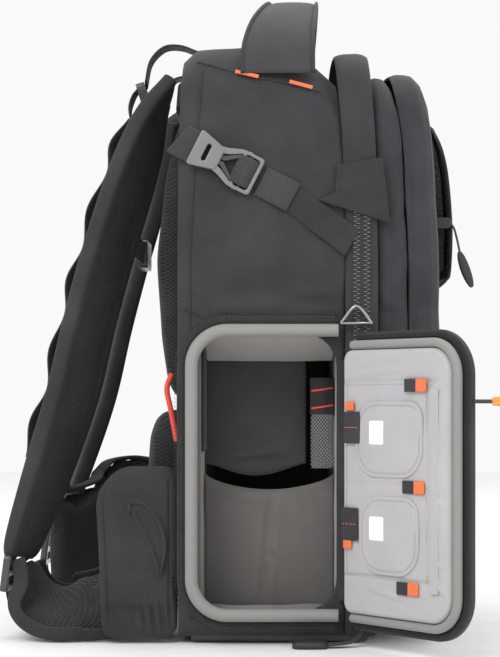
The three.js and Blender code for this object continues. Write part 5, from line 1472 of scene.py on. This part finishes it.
def soften(piece, voxel, cap, held, frames=20, pressure=4.0):
    """Swells a stuffed piece by cloth simulation, its sewn lines held; held(points in mm) gives 0 to 1."""
    remesh = piece.modifiers.new("remesh", "REMESH")
    remesh.mode = "VOXEL"
    remesh.voxel_size = voxel * MM
    bake(piece)
    mesh = piece.data
    start = np.zeros(len(mesh.vertices) * 3)
    mesh.vertices.foreach_get("co", start)
    start = start.reshape(-1, 3)
    group = piece.vertex_groups.new(name="held")
    for index, weight in enumerate(held(start / MM)):
        group.add([index], float(weight), "REPLACE")
    cloth = piece.modifiers.new("cloth", "CLOTH")
    cloth.settings.use_pressure = True
    cloth.settings.uniform_pressure_force = pressure
    cloth.settings.effector_weights.gravity = 0
    cloth.settings.vertex_group_mass = "held"
    cloth.settings.pin_stiffness = 4
    cloth.collision_settings.use_collision = False
    for step in range(1, frames + 1):
        bpy.context.scene.frame_set(step)
    shown = piece.evaluated_get(bpy.context.evaluated_depsgraph_get())
    end = np.zeros(len(mesh.vertices) * 3)
    shown.data.vertices.foreach_get("co", end)
    move = end.reshape(-1, 3) - start
    size = np.linalg.norm(move, axis=1, keepdims=True)
    move *= np.minimum(1, cap * MM / np.maximum(size, 1e-9))
    piece.modifiers.remove(cloth)
    bpy.context.scene.frame_set(1)
    mesh.vertices.foreach_set("co", (start + move).ravel())
    smooth = piece.modifiers.new("smooth", "SUBSURF")
    smooth.levels = smooth.render_levels = 1
    bake(piece)
    piece.vertex_groups.clear()
    return tidy(piece)


def band_frame(line):
    """Along, across and outward (towards the wearer's side) at each point of a band's line."""
    along = unit(np.gradient(line[:, :3], axis=0))
    across = unit(line[:, 3:6] - along * np.sum(along * line[:, 3:6], axis=1, keepdims=True))
    out = np.cross(along, across)
    return along, across, out * np.sign(-out[:, :1] + 1e-9)


def edge_bands(name, rows, thickness, wide, proud, material, sides=(-1, 1), count=110):
    """Cloth bands bound round a pad's two edges."""
    line, _ = band_grid(rows, thickness, count)
    across = band_frame(line)[1]
    for sign in sides:
        mid = line[:, :3] + across * (sign * (line[:, 6] / 2 - wide / 2 + proud))[:, None]
        profile = strap_profile(np.full(count, wide), thickness * line[:, 7] + 2 * proud, 20, 3.0)
        verts, faces = sweep(mid, across, profile)
        uv = np.vstack([np.stack([profile[..., 0] + 2 * profile[..., 1], np.broadcast_to(
            np.linspace(0, 380, count)[:, None], profile.shape[:2])], -1).reshape(-1, 2), [[0, 0], [0, 380]]])
        finish_piece(tidy(link_mesh(name + ("_inner" if sign < 0 else "_outer"), verts, faces, uv)), material)


def strap_shape(line, profile):
    """Quilting across a shoulder strap: shallow sewn lines and softer fullness between them."""
    z = line[:, 2]
    quilt = sum(np.exp(-((z - c) / 3.0) ** 2) for c in STRAP_QUILTS)
    profile = profile.copy()
    profile[..., 1] *= (1.08 - 0.2 * quilt)[:, None]
    return profile


WEB_TIES = [r[0][2] for r in STRAP_ROWS[1:7]]


def make_straps():
    """The shoulder straps: mesh pad, bound edges, daisy-chain webbing with bar tacks, adjuster and foot."""
    near = band_piece("strap_near", STRAP_ROWS, 13, 110, 40, 3.0, shape=strap_shape)
    line, _ = band_grid(STRAP_ROWS, 14, 160)
    _, across, out = band_frame(line)
    keep = (line[:, 2] < WEB_TIES[0]) & (line[:, 2] > WEB_TIES[-1])
    z = line[keep, 2]
    between_ties = np.interp(z, WEB_TIES[::-1], np.arange(len(WEB_TIES)))
    lift = WEB_STAND + WEB_HUMP * np.sin(np.pi * (between_ties % 1)) ** 2
    web = line[keep, :3] + out[keep] * lift[:,
                                            None] - WEB_SHIFT * across[keep] * np.sign(across[keep][:, 1:2])
    verts, faces = sweep(web, across[keep],
                         strap_profile(np.full(len(web), 24.0), np.full(len(web), 1.8), 18, 5.0))
    along = np.repeat(np.linspace(0, 330, len(web)), 18)
    uv = np.vstack([np.stack([np.tile(np.linspace(-12, 12, 18), len(web)), along], 1), [[0, 0], [0, 330]]])
    webbing = tidy(link_mesh("strap_webbing_near_band", verts, faces, uv))
    tack, tack_faces = bead(1.0, 0.9, 17.0)
    tack = tack[:, [2, 1, 0]]
    at = [int(np.argmin(abs(z - t))) for t in WEB_TIES[1:-1]]
    place = np.array([web[i] + out[keep][i] * 1.0 + (0, 0, d) for i in at for d in (-1.6, 1.6)])
    rows = np.array([np.array([across[keep][i], out[keep][i], (0, 0, 1)]) for i in at for _ in (0, 1)])
    tacks = copies("strap_tacks_near", tack, tack_faces, place, rows)
    for piece, material, slot, node in ((webbing, WEB, "webbing", "strap_webbing"),
                                        (tacks, THREAD, "webbing", None)):
        far = mirror_piece(piece, piece.name.replace("near", "far"))
        finish_piece(far, material, [node + "_far"] if node else ())
        finish_piece(piece, material, [node + "_near"] if node else ())
    finish_piece(mirror_piece(near, "strap_far"), MESH, ["shoulder_strap_far"])
    finish_piece(near, MESH, ["shoulder_strap_near"])
    mirrored_rows = tuple(((r[0][0], -r[0][1], r[0][2]), (r[1][0], -r[1][1], r[1][2]),
                           *r[2:]) for r in STRAP_ROWS)
    edge_bands("strap_binding_near", STRAP_ROWS, 13, 11, 0.7, CANVAS)
    edge_bands("strap_binding_far", mirrored_rows, 13, 11, 0.7, CANVAS)
    for sign, side in ((1, "near"), (-1, "far")):
        foot = [(-234.8, -99.6, 75), (-242, -106, 53), (-240, -100, 26), (-224, -84, 7), (-190, -74, 3),
                (-150, -84, 3), (-112, -100, 7)]
        path = smooth_path(np.array(foot) * (1, sign, 1), 70)
        facing = unit(np.cross(np.gradient(path, axis=0), (0, sign, 0)))
        ribbon("strap_foot_" + side, path, facing, 19, 1.8, WEB)
        outline = rounded_polygon([(-17, -15), (17, -15), (15, 15), (-15, 15)], 4, 60)
        slots = [rounded_polygon([(-12, s * 3), (12, s * 3), (12, s * 9.5), (-12, s * 9.5)], 1.2,
                                 30) for s in (-1, 1)]

        def stand(p, sign=sign):
            tilt = 0.12
            return np.stack([-242 - p[:, 2] * math.cos(tilt) + p[:, 1] * math.sin(tilt),
                             sign * (-106 + p[:, 0]),
                             53 + p[:, 1] * math.cos(tilt) + p[:, 2] * math.sin(tilt)], 1)
        bar("strap_adjuster_frame_" + side, outline, slots, -3, 6, 1.3, stand, PLASTIC,
            ["strap_adjuster_" + side])


def make_lifters():
    """Load lifters: a webbing arc over the yoke to each strap, its ladder-lock and a short tail."""
    for sign, side in ((1, "near"), (-1, "far")):
        rows = tuple(((r[0][0], r[0][1] * sign, r[0][2]), r[1], 21, 1) for r in LIFTER_ROWS)
        finish_piece(band_piece("lifter_webbing_" + side, rows, 1.9, 60, 20, 5.0), WEB,
                     ["load_lifter_" + side])

        def stand(p, sign=sign):
            c, s = math.cos(0.3), math.sin(0.3)
            return np.stack([-135.4 - p[:, 2] * c - p[:, 1] * s, sign * (-75 + p[:, 0]),
                             440 + p[:, 1] * c - p[:, 2] * s], 1)
        slots = [rounded_polygon([(-10, s * 1.5), (10, s * 1.5), (10, s * 6.5), (-10, s * 6.5)], 1,
                                 30) for s in (-1, 1)]
        bar("lifter_buckle_" + side, rounded_polygon([(-14, -10), (14, -10), (14, 10), (-14, 10)], 2.5, 50),
            slots,
            -3.5, 7, 1.3, stand, DARK_PLASTIC)
        tail = smooth_path(np.array([(-139, -75, 447), (-144, -75, 440), (-147, -76, 430), (-146, -77, 420)])
                           * (1, sign, 1), 24)
        ribbon("lifter_tail_" + side, tail, (-1, 0, 0), 19, 1.8, WEB)


def make_back():
    """The back pads with their sewn channels, the back panel board and the red trim."""
    def channels(*lines):
        return lambda p: np.clip(sum(np.exp(-((np.abs(p[:, 1]) - c) / 4.5) ** 2) for c in lines)
                                 + (p[:, 0] > back_seam(p[:, 2]) - 6), 0, 1)
    upper = make_pad("back_pad_body", BACK_PAD_ROWS, 193, 423, 24, UPPER_CHANNELS, 5)
    upper = soften(upper, SIM_VOXEL, PAD_SWELL, channels(*UPPER_CHANNELS))
    finish_piece(upper, NODE_MESH, ["back_pad"])
    lower = make_pad("lumbar_pad_body", LUMBAR_ROWS, 41, 183, 32, LUMBAR_CHANNELS, 6)
    lower = soften(lower, SIM_VOXEL, PAD_SWELL, channels(*LUMBAR_CHANNELS))
    finish_piece(lower, NODE_MESH, ["lumbar_pad"])
    board = make_pad("back_panel_board",
                     np.array([(0, 0.7, 1.18), (0.1, 1, 1.26), (0.85, 1, 1.22), (1, 0.6, 0.9)]),
                     12, 462, 3.0, (), 12)
    finish_piece(board, MESH, ["back_panel"])
    for sign, side in ((1, "near"), (-1, "far")):
        rope = [(-106, -116 * sign, 158), (-111, -115 * sign, 184), (-114, -114 * sign, 200),
                (-110, -116 * sign, 212)]
        finish_piece(rope_piece("trim_rope_" + side, rope, 2.2, 16, 60), RED,
                     ["back_trim_" + side])


PANEL_SHAPE = rounded_polygon([(-163, 4.5), (-104, 4.5), (-104, 139), (-150, 139), (-168, 118), (-165, 60)],
                              12, 260)


TEARDROP = [(-141, 104), (-139.6, 110.8), (-128.7, 109.2), (-118.6, 97.5), (-113.1, 78), (-117, 54.6),
            (-119.3, 62.4), (-124.8, 78), (-138, 103.7)]


def panel_relief(x, z):
    """The belt panel: a bound edge, a raised band, a piped teardrop and gathers where it is drawn in."""
    loop = smooth_path(TEARDROP, 80)
    near = np.min(np.hypot(x[..., None] - loop[:, 0], z[..., None] - loop[:, 1]), axis=-1)
    high = 2.8 * np.exp(-(near / 1.7) ** 2) - 1.2 * np.exp(-(near / 5) ** 2)
    band = (np.tanh((z - 30) / 2) - np.tanh((z - 54) / 1.2)) * 1.1
    gathered = np.exp(-((x + 121) / 13) ** 2) * np.exp(-((z - 19) / 13) ** 2)
    gathers = 2.4 * np.sin(x * 0.85 + z * 0.1) * gathered
    folds = crease(x, z, (-160, 120), (-146, 62), 7, 1.2) + crease(x, z, (-152, 28), (-128, 8), 5, 1.3)
    rim = np.min(np.hypot(x[..., None] - PANEL_SHAPE[:, 0], z[..., None] - PANEL_SHAPE[:, 1]), axis=-1)
    return high + band + gathers + folds - 1.3 * np.exp(-((rim - 6) / 0.9) ** 2)


def make_belt():
    """The belt: two curling mesh wings, a panel at each lower corner, and the far wing's buckle."""
    def wing_held(p):
        return np.clip((p[:, 0] > -130) * 1.0, 0, 1)
    near = soften(band_piece("hip_wing_near_body", HIP_NEAR_ROWS, 10, 70, 40, 3.0), SIM_VOXEL, WING_SWELL,
                  wing_held)
    far = soften(band_piece("hip_wing_far_body", HIP_FAR_ROWS, 9, 70, 40, 3.0), SIM_VOXEL, WING_SWELL,
                 wing_held)
    finish_piece(near, NODE_MESH, ["hip_wing_near"])
    finish_piece(far, NODE_MESH, ["hip_wing_far"])
    edge_bands("wing_binding_near", HIP_NEAR_ROWS, 11, 4, 0.7, CANVAS)
    edge_bands("wing_binding_far", HIP_FAR_ROWS, 10, 4, 0.7, CANVAS)
    panel = soft_plate("hip_panel_near_pad", PANEL_SHAPE, -136.2, 8.0, 4.0, CANVAS,
                       ["hip_panel_near"],
                       1.2, panel_relief, 44)
    loop = [(x, -145.4, z) for x, z in TEARDROP]
    pipe = rope_piece("panel_piping_near", loop, 1.2, 10, 160)
    finish_piece(mirror_piece(pipe, "panel_piping_far"), DARK_STRIP)
    finish_piece(pipe, DARK_STRIP)
    other = mirror_piece(panel, "hip_panel_far_pad")
    finish_piece(other, CANVAS, ["hip_panel_far"])

    def stand(p):
        return np.stack([-216 - p[:, 2] + 4, 30 + p[:, 1], 126.6 + p[:, 0]], 1)
    slots = [rounded_polygon([(-11, s * 1.5), (11, s * 1.5), (11, s * 6), (-11, s * 6)], 1, 30) for s in (-1,
                                                                                                          1)]
    bar("hip_buckle_frame", rounded_polygon([(-18, -13), (18, -13), (18, 13), (-18, 13)], 4, 60), slots, 0, 8,
        1.6,
        stand, PLASTIC, ["hip_buckle"])


def skin_tree(piece):
    """The body's surface, to lay seams on."""
    return BVHTree.FromObject(piece, bpy.context.evaluated_depsgraph_get())


def onto(tree, path, lift, side=-1):
    """Points in x and z laid on the near side of the surface, lift mm above it."""
    points = []
    for x, z in path:
        hit = tree.ray_cast((x * MM, side * 0.4, z * MM), (0, -side, 0))[0]
        points.append((x, (hit.y / MM if hit else side * 150.0) + side * lift, z))
    return np.array(points)


def make_body_seams(shell):
    """Piped and stitched seams on both sides, and the shoulder seam with its two bar tabs."""
    tree = skin_tree(shell)
    for side, label in ((-1, "near"), (1, "far")):
        out = np.array([0, side, 0.0])
        shoulder = onto(tree, smooth_path([(-88, 456), (-51, 444.6), (-20, 438), (8, 431.3)], 90), 0.1, side)
        finish_piece(rope_piece("shoulder_seam_" + label, shoulder, 1.1, 10, 0), SHELL)
        low = onto(tree, smooth_path([(-98, 262), (-88, 257), (-78, 252.5)], 30), 0.0, side)
        finish_piece(rope_piece("side_seam_" + label, low, 0.9, 10, 0), SHELL)
        corner = onto(tree, smooth_path([(-93, 20), (-93.5, 200), (-92, 330), (-84, 450)], 140), 0.0, side)
        finish_piece(rope_piece("back_seam_" + label, corner, 1.2, 10, 0), SHELL)
        stitch_line("shoulder_stitches_" + label,
                    onto(tree, smooth_path([(-88, 453), (-51, 441.4), (-20, 434.8),
                    (8, 428)], 90), 0.2, side), out, THREAD)
        for name, x, z in (("back", -49, 444.4), ("front", -7, 436.4)):
            ends = onto(tree, [(x - 9, z + 2.3), (x, z), (x + 9, z - 2.3)], 3.4, side)
            ribbon("bar_tab_%s_%s" % (name, label), ends, out, 2.8, 1.4, ORANGE,
                   ["seam_tab_" + name] if side < 0 else [], 16)


def make_top():
    """The padded handle, drawn wide over the shoulders, and the yoke behind it."""
    rows = [((x, y * sign, z), (1, 0, 0), wide, thick) for sign,
            part in ((1, HANDLE_ROWS), (-1, HANDLE_ROWS[::-1]))
            for y, z, x, wide, thick in part]
    handle = band_piece("handle_body", rows, 11, 90, 40, 2.8)
    # The handle body's paler cloth is painted highlight.
    finish_piece(handle, HANDLE_PAINTED_HIGHLIGHT, ["top_handle"])
    edge_bands("handle_binding", rows, 11, 3.4, 0.5, SHELL, (-1, 1), 90)
    yoke = make_pad("yoke_pad",
                    np.array([(0, 0.55, 0.69), (0.15, 1, 0.76), (0.8, 0.9, 0.76), (1, 0.5, 0.67)]),
                    426.5, 455.5, 11, (40,), 9)
    finish_piece(yoke, SHELL, ["yoke"])


# The handle's cloth is paler than the shell cloth: painted highlight on the handle.
HANDLE_PAINTED_HIGHLIGHT = fabric("handle_cloth_painted_highlight", "weave", 0x353537, 0x222224, settings={"Pitch": 0.9, "Rib": 0.5})




def make_side_details():
    """The compression strap's fabric wing with its hems, and the coil strips down the gusset."""
    for sign, side in ((-1, "near"), (1, "far")):
        def stand(p, sign=sign):
            return np.stack([p[:, 0], sign * (153.6 + (sign > 0) * 1.6 + p[:, 2]), p[:, 1]], 1)

        def draped(x, z):
            return crease(x, z, (-40, 360), (10, 352), 5, 0.7) + crease(x, z, (20, 370), (10, 352), 4,
                                                                        0.9) + crease(
                x, z, (46, 376), (50, 333), 2, -0.5)
        upper = rounded_polygon([(21, 373), (56, 379), (62, 328), (6, 346), (19.5, 352)], 2.0, 200)
        lower = rounded_polygon([(-38, 372), (-11, 358.5), (38.6, 323), (27, 302.5), (-21.4, 339.5),
                                 (-46, 350)], 1.5, 200)
        soft_plate("wing_lower_" + side, lower, 0, 2.0, 0.9, CANVAS, [], 0.3, None, 16, stand)
        soft_plate("wing_upper_" + side, upper, 0, 3.4, 1.0, CANVAS, ["side_wing_" + side], 0.4,
                   draped, 24,
                   stand)
        out = np.array([0, sign, 0.0])
        web = [(-38, sign * 156.4, 360.5), (-26, sign * 157.0, 354.5), (-13, sign * 156.6, 347.5)]
        ribbon("wing_webbing_" + side, web, out, 24, 1.8, WEB, [], 24)
        for label, line, lift in (("front", [(51, 376.5), (57, 333)], 3.6),
                                  ("foot", [(33.5, 325), (22.5, 308)], 2.4),
                                  ("edge", [(24, 371), (22, 350)], 3.6)):
            stitch_line("wing_stitches_%s_%s" % (label, side),
                        stand(np.array([(*p, lift) for p in smooth_path(
                line, 30)])), out, THREAD, 2.6, (0.5, 0.45, 1.8))
        tape = [(40, sign * 153.2, z) for z in np.linspace(29, 339, 60)]
        ribbon("zip_strip_tape_" + side, tape, out, 14, 1.6, ZIP, ["zip_strip_" + side])
        for x, label in ((36.2, "back"), (44.2, "front")):
            rail = [(x, sign * 153.8, z) for z in np.linspace(29, 339, 60)]
            coil_line("zip_strip_coil_%s_%s" % (label, side), rail, out, STRIP_TEETH, 4.6, 3.4, 0.6)


STRIP_TEETH = hard("strip_teeth", 0x6d6d70, 0.35, coat=0.2)


def make_front_details():
    """The flap's binding, its slider, thin cord and soft pull."""
    x0 = float(front_face(334))
    hem = [(float(front_face(z)) + 2.2 + np.interp(z, FLAP_ROWS[:, 0], FLAP_ROWS[:, 1]), y,
            z - (0 if z > 305 else 4))
           for y,
           z in ((-73, 414), (-87, 395), (-94, 370), (-95, 330), (-90, 300), (-60, 295), (0, 294), (60, 295),
                        (90, 300), (95, 330), (94, 370), (87, 395), (73, 414))]
    finish_piece(rope_piece("flap_binding", hem, 1.5, 10, 200), CANVAS)

    def stand(p):
        return np.stack([x0 + 6.9 + p[:, 0], -98 - p[:, 2], 334 + p[:, 1]], 1)
    bar("front_slider",
        rounded_polygon([(-6.5, -4.5), (4, -4.5), (7, -1.5), (7, 2.5), (3, 4.5), (-6.5, 4.5)], 2, 60), [],
        -2.6, 5.2, 1.3, stand, DARK_PLASTIC, ["front_zip_pull"])
    cord = [(x0 + 12.5, -98, 334), (x0 + 15.5, -98.5, 330), (x0 + 18, -99, 321), (x0 + 21, -100, 306)]
    finish_piece(rope_piece("front_pull_cord", cord, 0.9, 12, 60), THREAD)
    pull = smooth_path([(x0 + 19.6, -100, 311), (x0 + 24, -100, 298), (x0 + 30, -100, 282)], 40)
    round_end = np.sin(np.linspace(0.03, 3.11, 40)) ** 0.4
    profile = strap_profile(8.0 * round_end, 5.0 * round_end, 20, 2.6)
    verts, faces = sweep(pull, np.zeros((40, 3)) + (0.9, 0, 0.4), profile)
    finish_piece(tidy(link_mesh("front_pull_grip", verts, faces)), RUBBER)


def make_fittings():
    """Sternum strap, hinge cloth, door pull, wire pull, tripod strap, base patch and base binding."""
    for sign, side in ((-1, "near"), (1, "far")):
        band = smooth_path([(-146.4, 58.6 * sign, 322), (-143, 38 * sign, 318), (-140, 18 * sign, 316)], 40)
        ribbon("sternum_webbing_" + side, band, (-1, 0, 0.1), 19, 1.9, WEB)

    def chest(p):
        return np.stack([-137.5 - p[:, 2], p[:, 0], 316 + p[:, 1]], 1)
    bar("sternum_clip", rounded_polygon([(-22, -12), (22, -12), (22, 12), (-22, 12)], 4, 70),
        [rounded_polygon([(a - 1.5, -8), (a + 1.5, -8), (a + 1.5, 8), (a - 1.5, 8)], 1, 24) for a in (-16, 0,
                                                                                                      16)],
        0, 8, 1.8, chest, DARK_PLASTIC, ["sternum_strap"])
    hinge = [(22.4, -149.8, 128), (26, -153.4, 128), (31, -156.9, 128)]
    ribbon("hinge_cloth", hinge, (0.64, -0.77, 0), 188, 1.6, CANVAS, ["door_hinge"], 12)
    pull = on_door([(u, 2.6, 190) for u in np.linspace(131.6, 151, 20)])
    finish_piece(rope_piece("door_pull_stem", pull, 1.5, 10, 0), THREAD, ["door_zip_pull"])
    tag = rounded_polygon([(148, 187), (160, 186.2), (167, 188.5), (167, 191.5), (160, 193.8), (148, 193)], 2,
                          60)
    verts, faces, uv = pillow(tag, 3.2, 1.4, 10, 0.5, None,
                              lambda p: on_door(np.stack([p[:, 0], 4.2 - p[:, 2], p[:, 1]],
                                                                                       1)))
    finish_piece(tidy(link_mesh("door_pull_tag", verts, faces, uv)), AMBER)
    wire = [(23.6, -158, 250.5), (35.6, -159, 263.5), (46.8, -158, 251.5), (46, -158, 250.4)]
    finish_piece(rope_piece("hinge_wire", wire, 1.2, 12, 90, True), METAL, ["hinge_pull"])
    strap = smooth_path([(41, -153.8, 26), (41, -155.5, 15), (34, -160, 5.4), (20, -163, 2.9),
                         (8, -164, 2.7)], 50)
    facing = unit(np.cross(np.gradient(strap, axis=0), (0, 1, 0)) * (-1, -1, -1))
    ribbon("tripod_webbing", strap, facing, 10, 1.7, WEB, ["tripod_strap"])
    oval = rounded_polygon([(-14, -173), (14, -173), (14, -155), (-14, -155)], 8, 60)
    verts, faces, uv = pillow(oval, 5.0, 2.4, 12, 0.6, None,
                              lambda p: np.stack([p[:, 0], p[:, 1], 0.4 + p[:, 2]], 1))
    finish_piece(tidy(link_mesh("tripod_pull", verts, faces, uv)), RUBBER)
    patch = rounded_polygon([(-95, -132), (46, -132), (46, 132), (-95, 132)], 14, 240)
    verts, faces, uv = pillow(patch, 4.2, 1.6, 20, 0.0, None,
                              lambda p: np.stack([p[:, 0], p[:, 1], 4.3 - p[:, 2]], 1))
    finish_piece(tidy(link_mesh("base_patch", verts, faces, uv)), WEB, ["base_panel"])
    for sign, side in ((-1, "near"), (1, "far")):
        edge = smooth_path([(-93, sign * 136, 5.4), (-30, sign * 137.5, 5.2), (44, sign * 137, 5.2)], 60)
        finish_piece(rope_piece("base_binding_" + side, edge, 3.6, 12, 0), THREAD)


AMBER = fabric("pull_tag", "weave", 0xf09a3c, 0xd87f22, 0.6, 0.2, 0.4, 0.2, own_uv=False)


# Main pieces
shell_piece = finish_piece(make_shell(), SHELL, ["main_shell"])
finish_piece(make_gusset(), SHELL, ["zip_gusset"])
finish_piece(make_dish("middle_pocket_body", 146, 458, middle_back, middle_front, POCKET_FOLDS, 31, 2.0),
             POCKET,
             ["middle_pocket"])
finish_piece(make_dish("front_pocket_body", 140, 461, front_back, front_face, POCKET_FOLDS, 41, 3.0), POCKET,
             ["front_pocket"])
finish_piece(make_flap("flap_pocket_body", 0.4, lambda out: 0.4 + out, 0, 0, 0.25), MESH,
             ["flap_pocket"])
finish_piece(make_flap("front_flap_cover", lambda out: 0.8 + out, lambda out: 3.8 + out, 3, 6, 0.35), POCKET,
             ["front_flap"])
make_back()
make_straps()
make_lifters()
make_belt()
make_top()
make_body_seams(shell_piece)
make_side_details()
make_front_details()
make_fittings()
make_door()
make_tabs()
make_opening()
make_compartment()
make_net_pocket()
make_buckle()

NODE_FINISH = {
    "shell_fabric": NODE_CLOTH, "pocket_fabric": NODE_CLOTH, "black_mesh": NODE_MESH, "webbing": NODE_WEB,
    "padding_fabric": NODE_CLOTH, "lining": NODE_LINING, "inner_lining": NODE_INNER_PAINTED_SHADE,
    "divider_dark": NODE_CLOTH,
    "piping": NODE_LINING, "zip": ZIP, "net": NET,
    "orange": ORANGE, "red_trim": RED, "buckle": PLASTIC, "metal": METAL}
for node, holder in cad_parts.items():
    for spot in holder.material_slots:
        name = spot.material.name.split(".")[0] if spot.material else ""
        if name in NODE_FINISH:
            spot.material = NODE_FINISH[name]

floor = link_mesh("floor", [(-3000, -3000, 0), (3000, -3000, 0), (3000, 3000, 0), (-3000, 3000, 0)],
                  [(0, 1, 2, 3)])
floor.data.materials.append(fabric("floor_pale", "nap", 0xf4f4f4, 0xf0f0f0, 0.9, 0.0, 0.05, 0.05,
                                   own_uv=False))
make_camera()
make_light("key", (-0.9, -1.7, 1.7), 1.2, 26)
make_light("fill", (1.6, -1.2, 0.9), 1.6, 8)
make_light("top", (0.2, 0.5, 2.0), 1.4, 14)
world = bpy.data.worlds.new("world")
world.use_nodes = True
world.node_tree.nodes["Background"].inputs["Color"].default_value = (1, 1, 1, 1)
world.node_tree.nodes["Background"].inputs["Strength"].default_value = 0.95
bpy.context.scene.world = world
bpy.context.scene.view_settings.view_transform = "Standard"
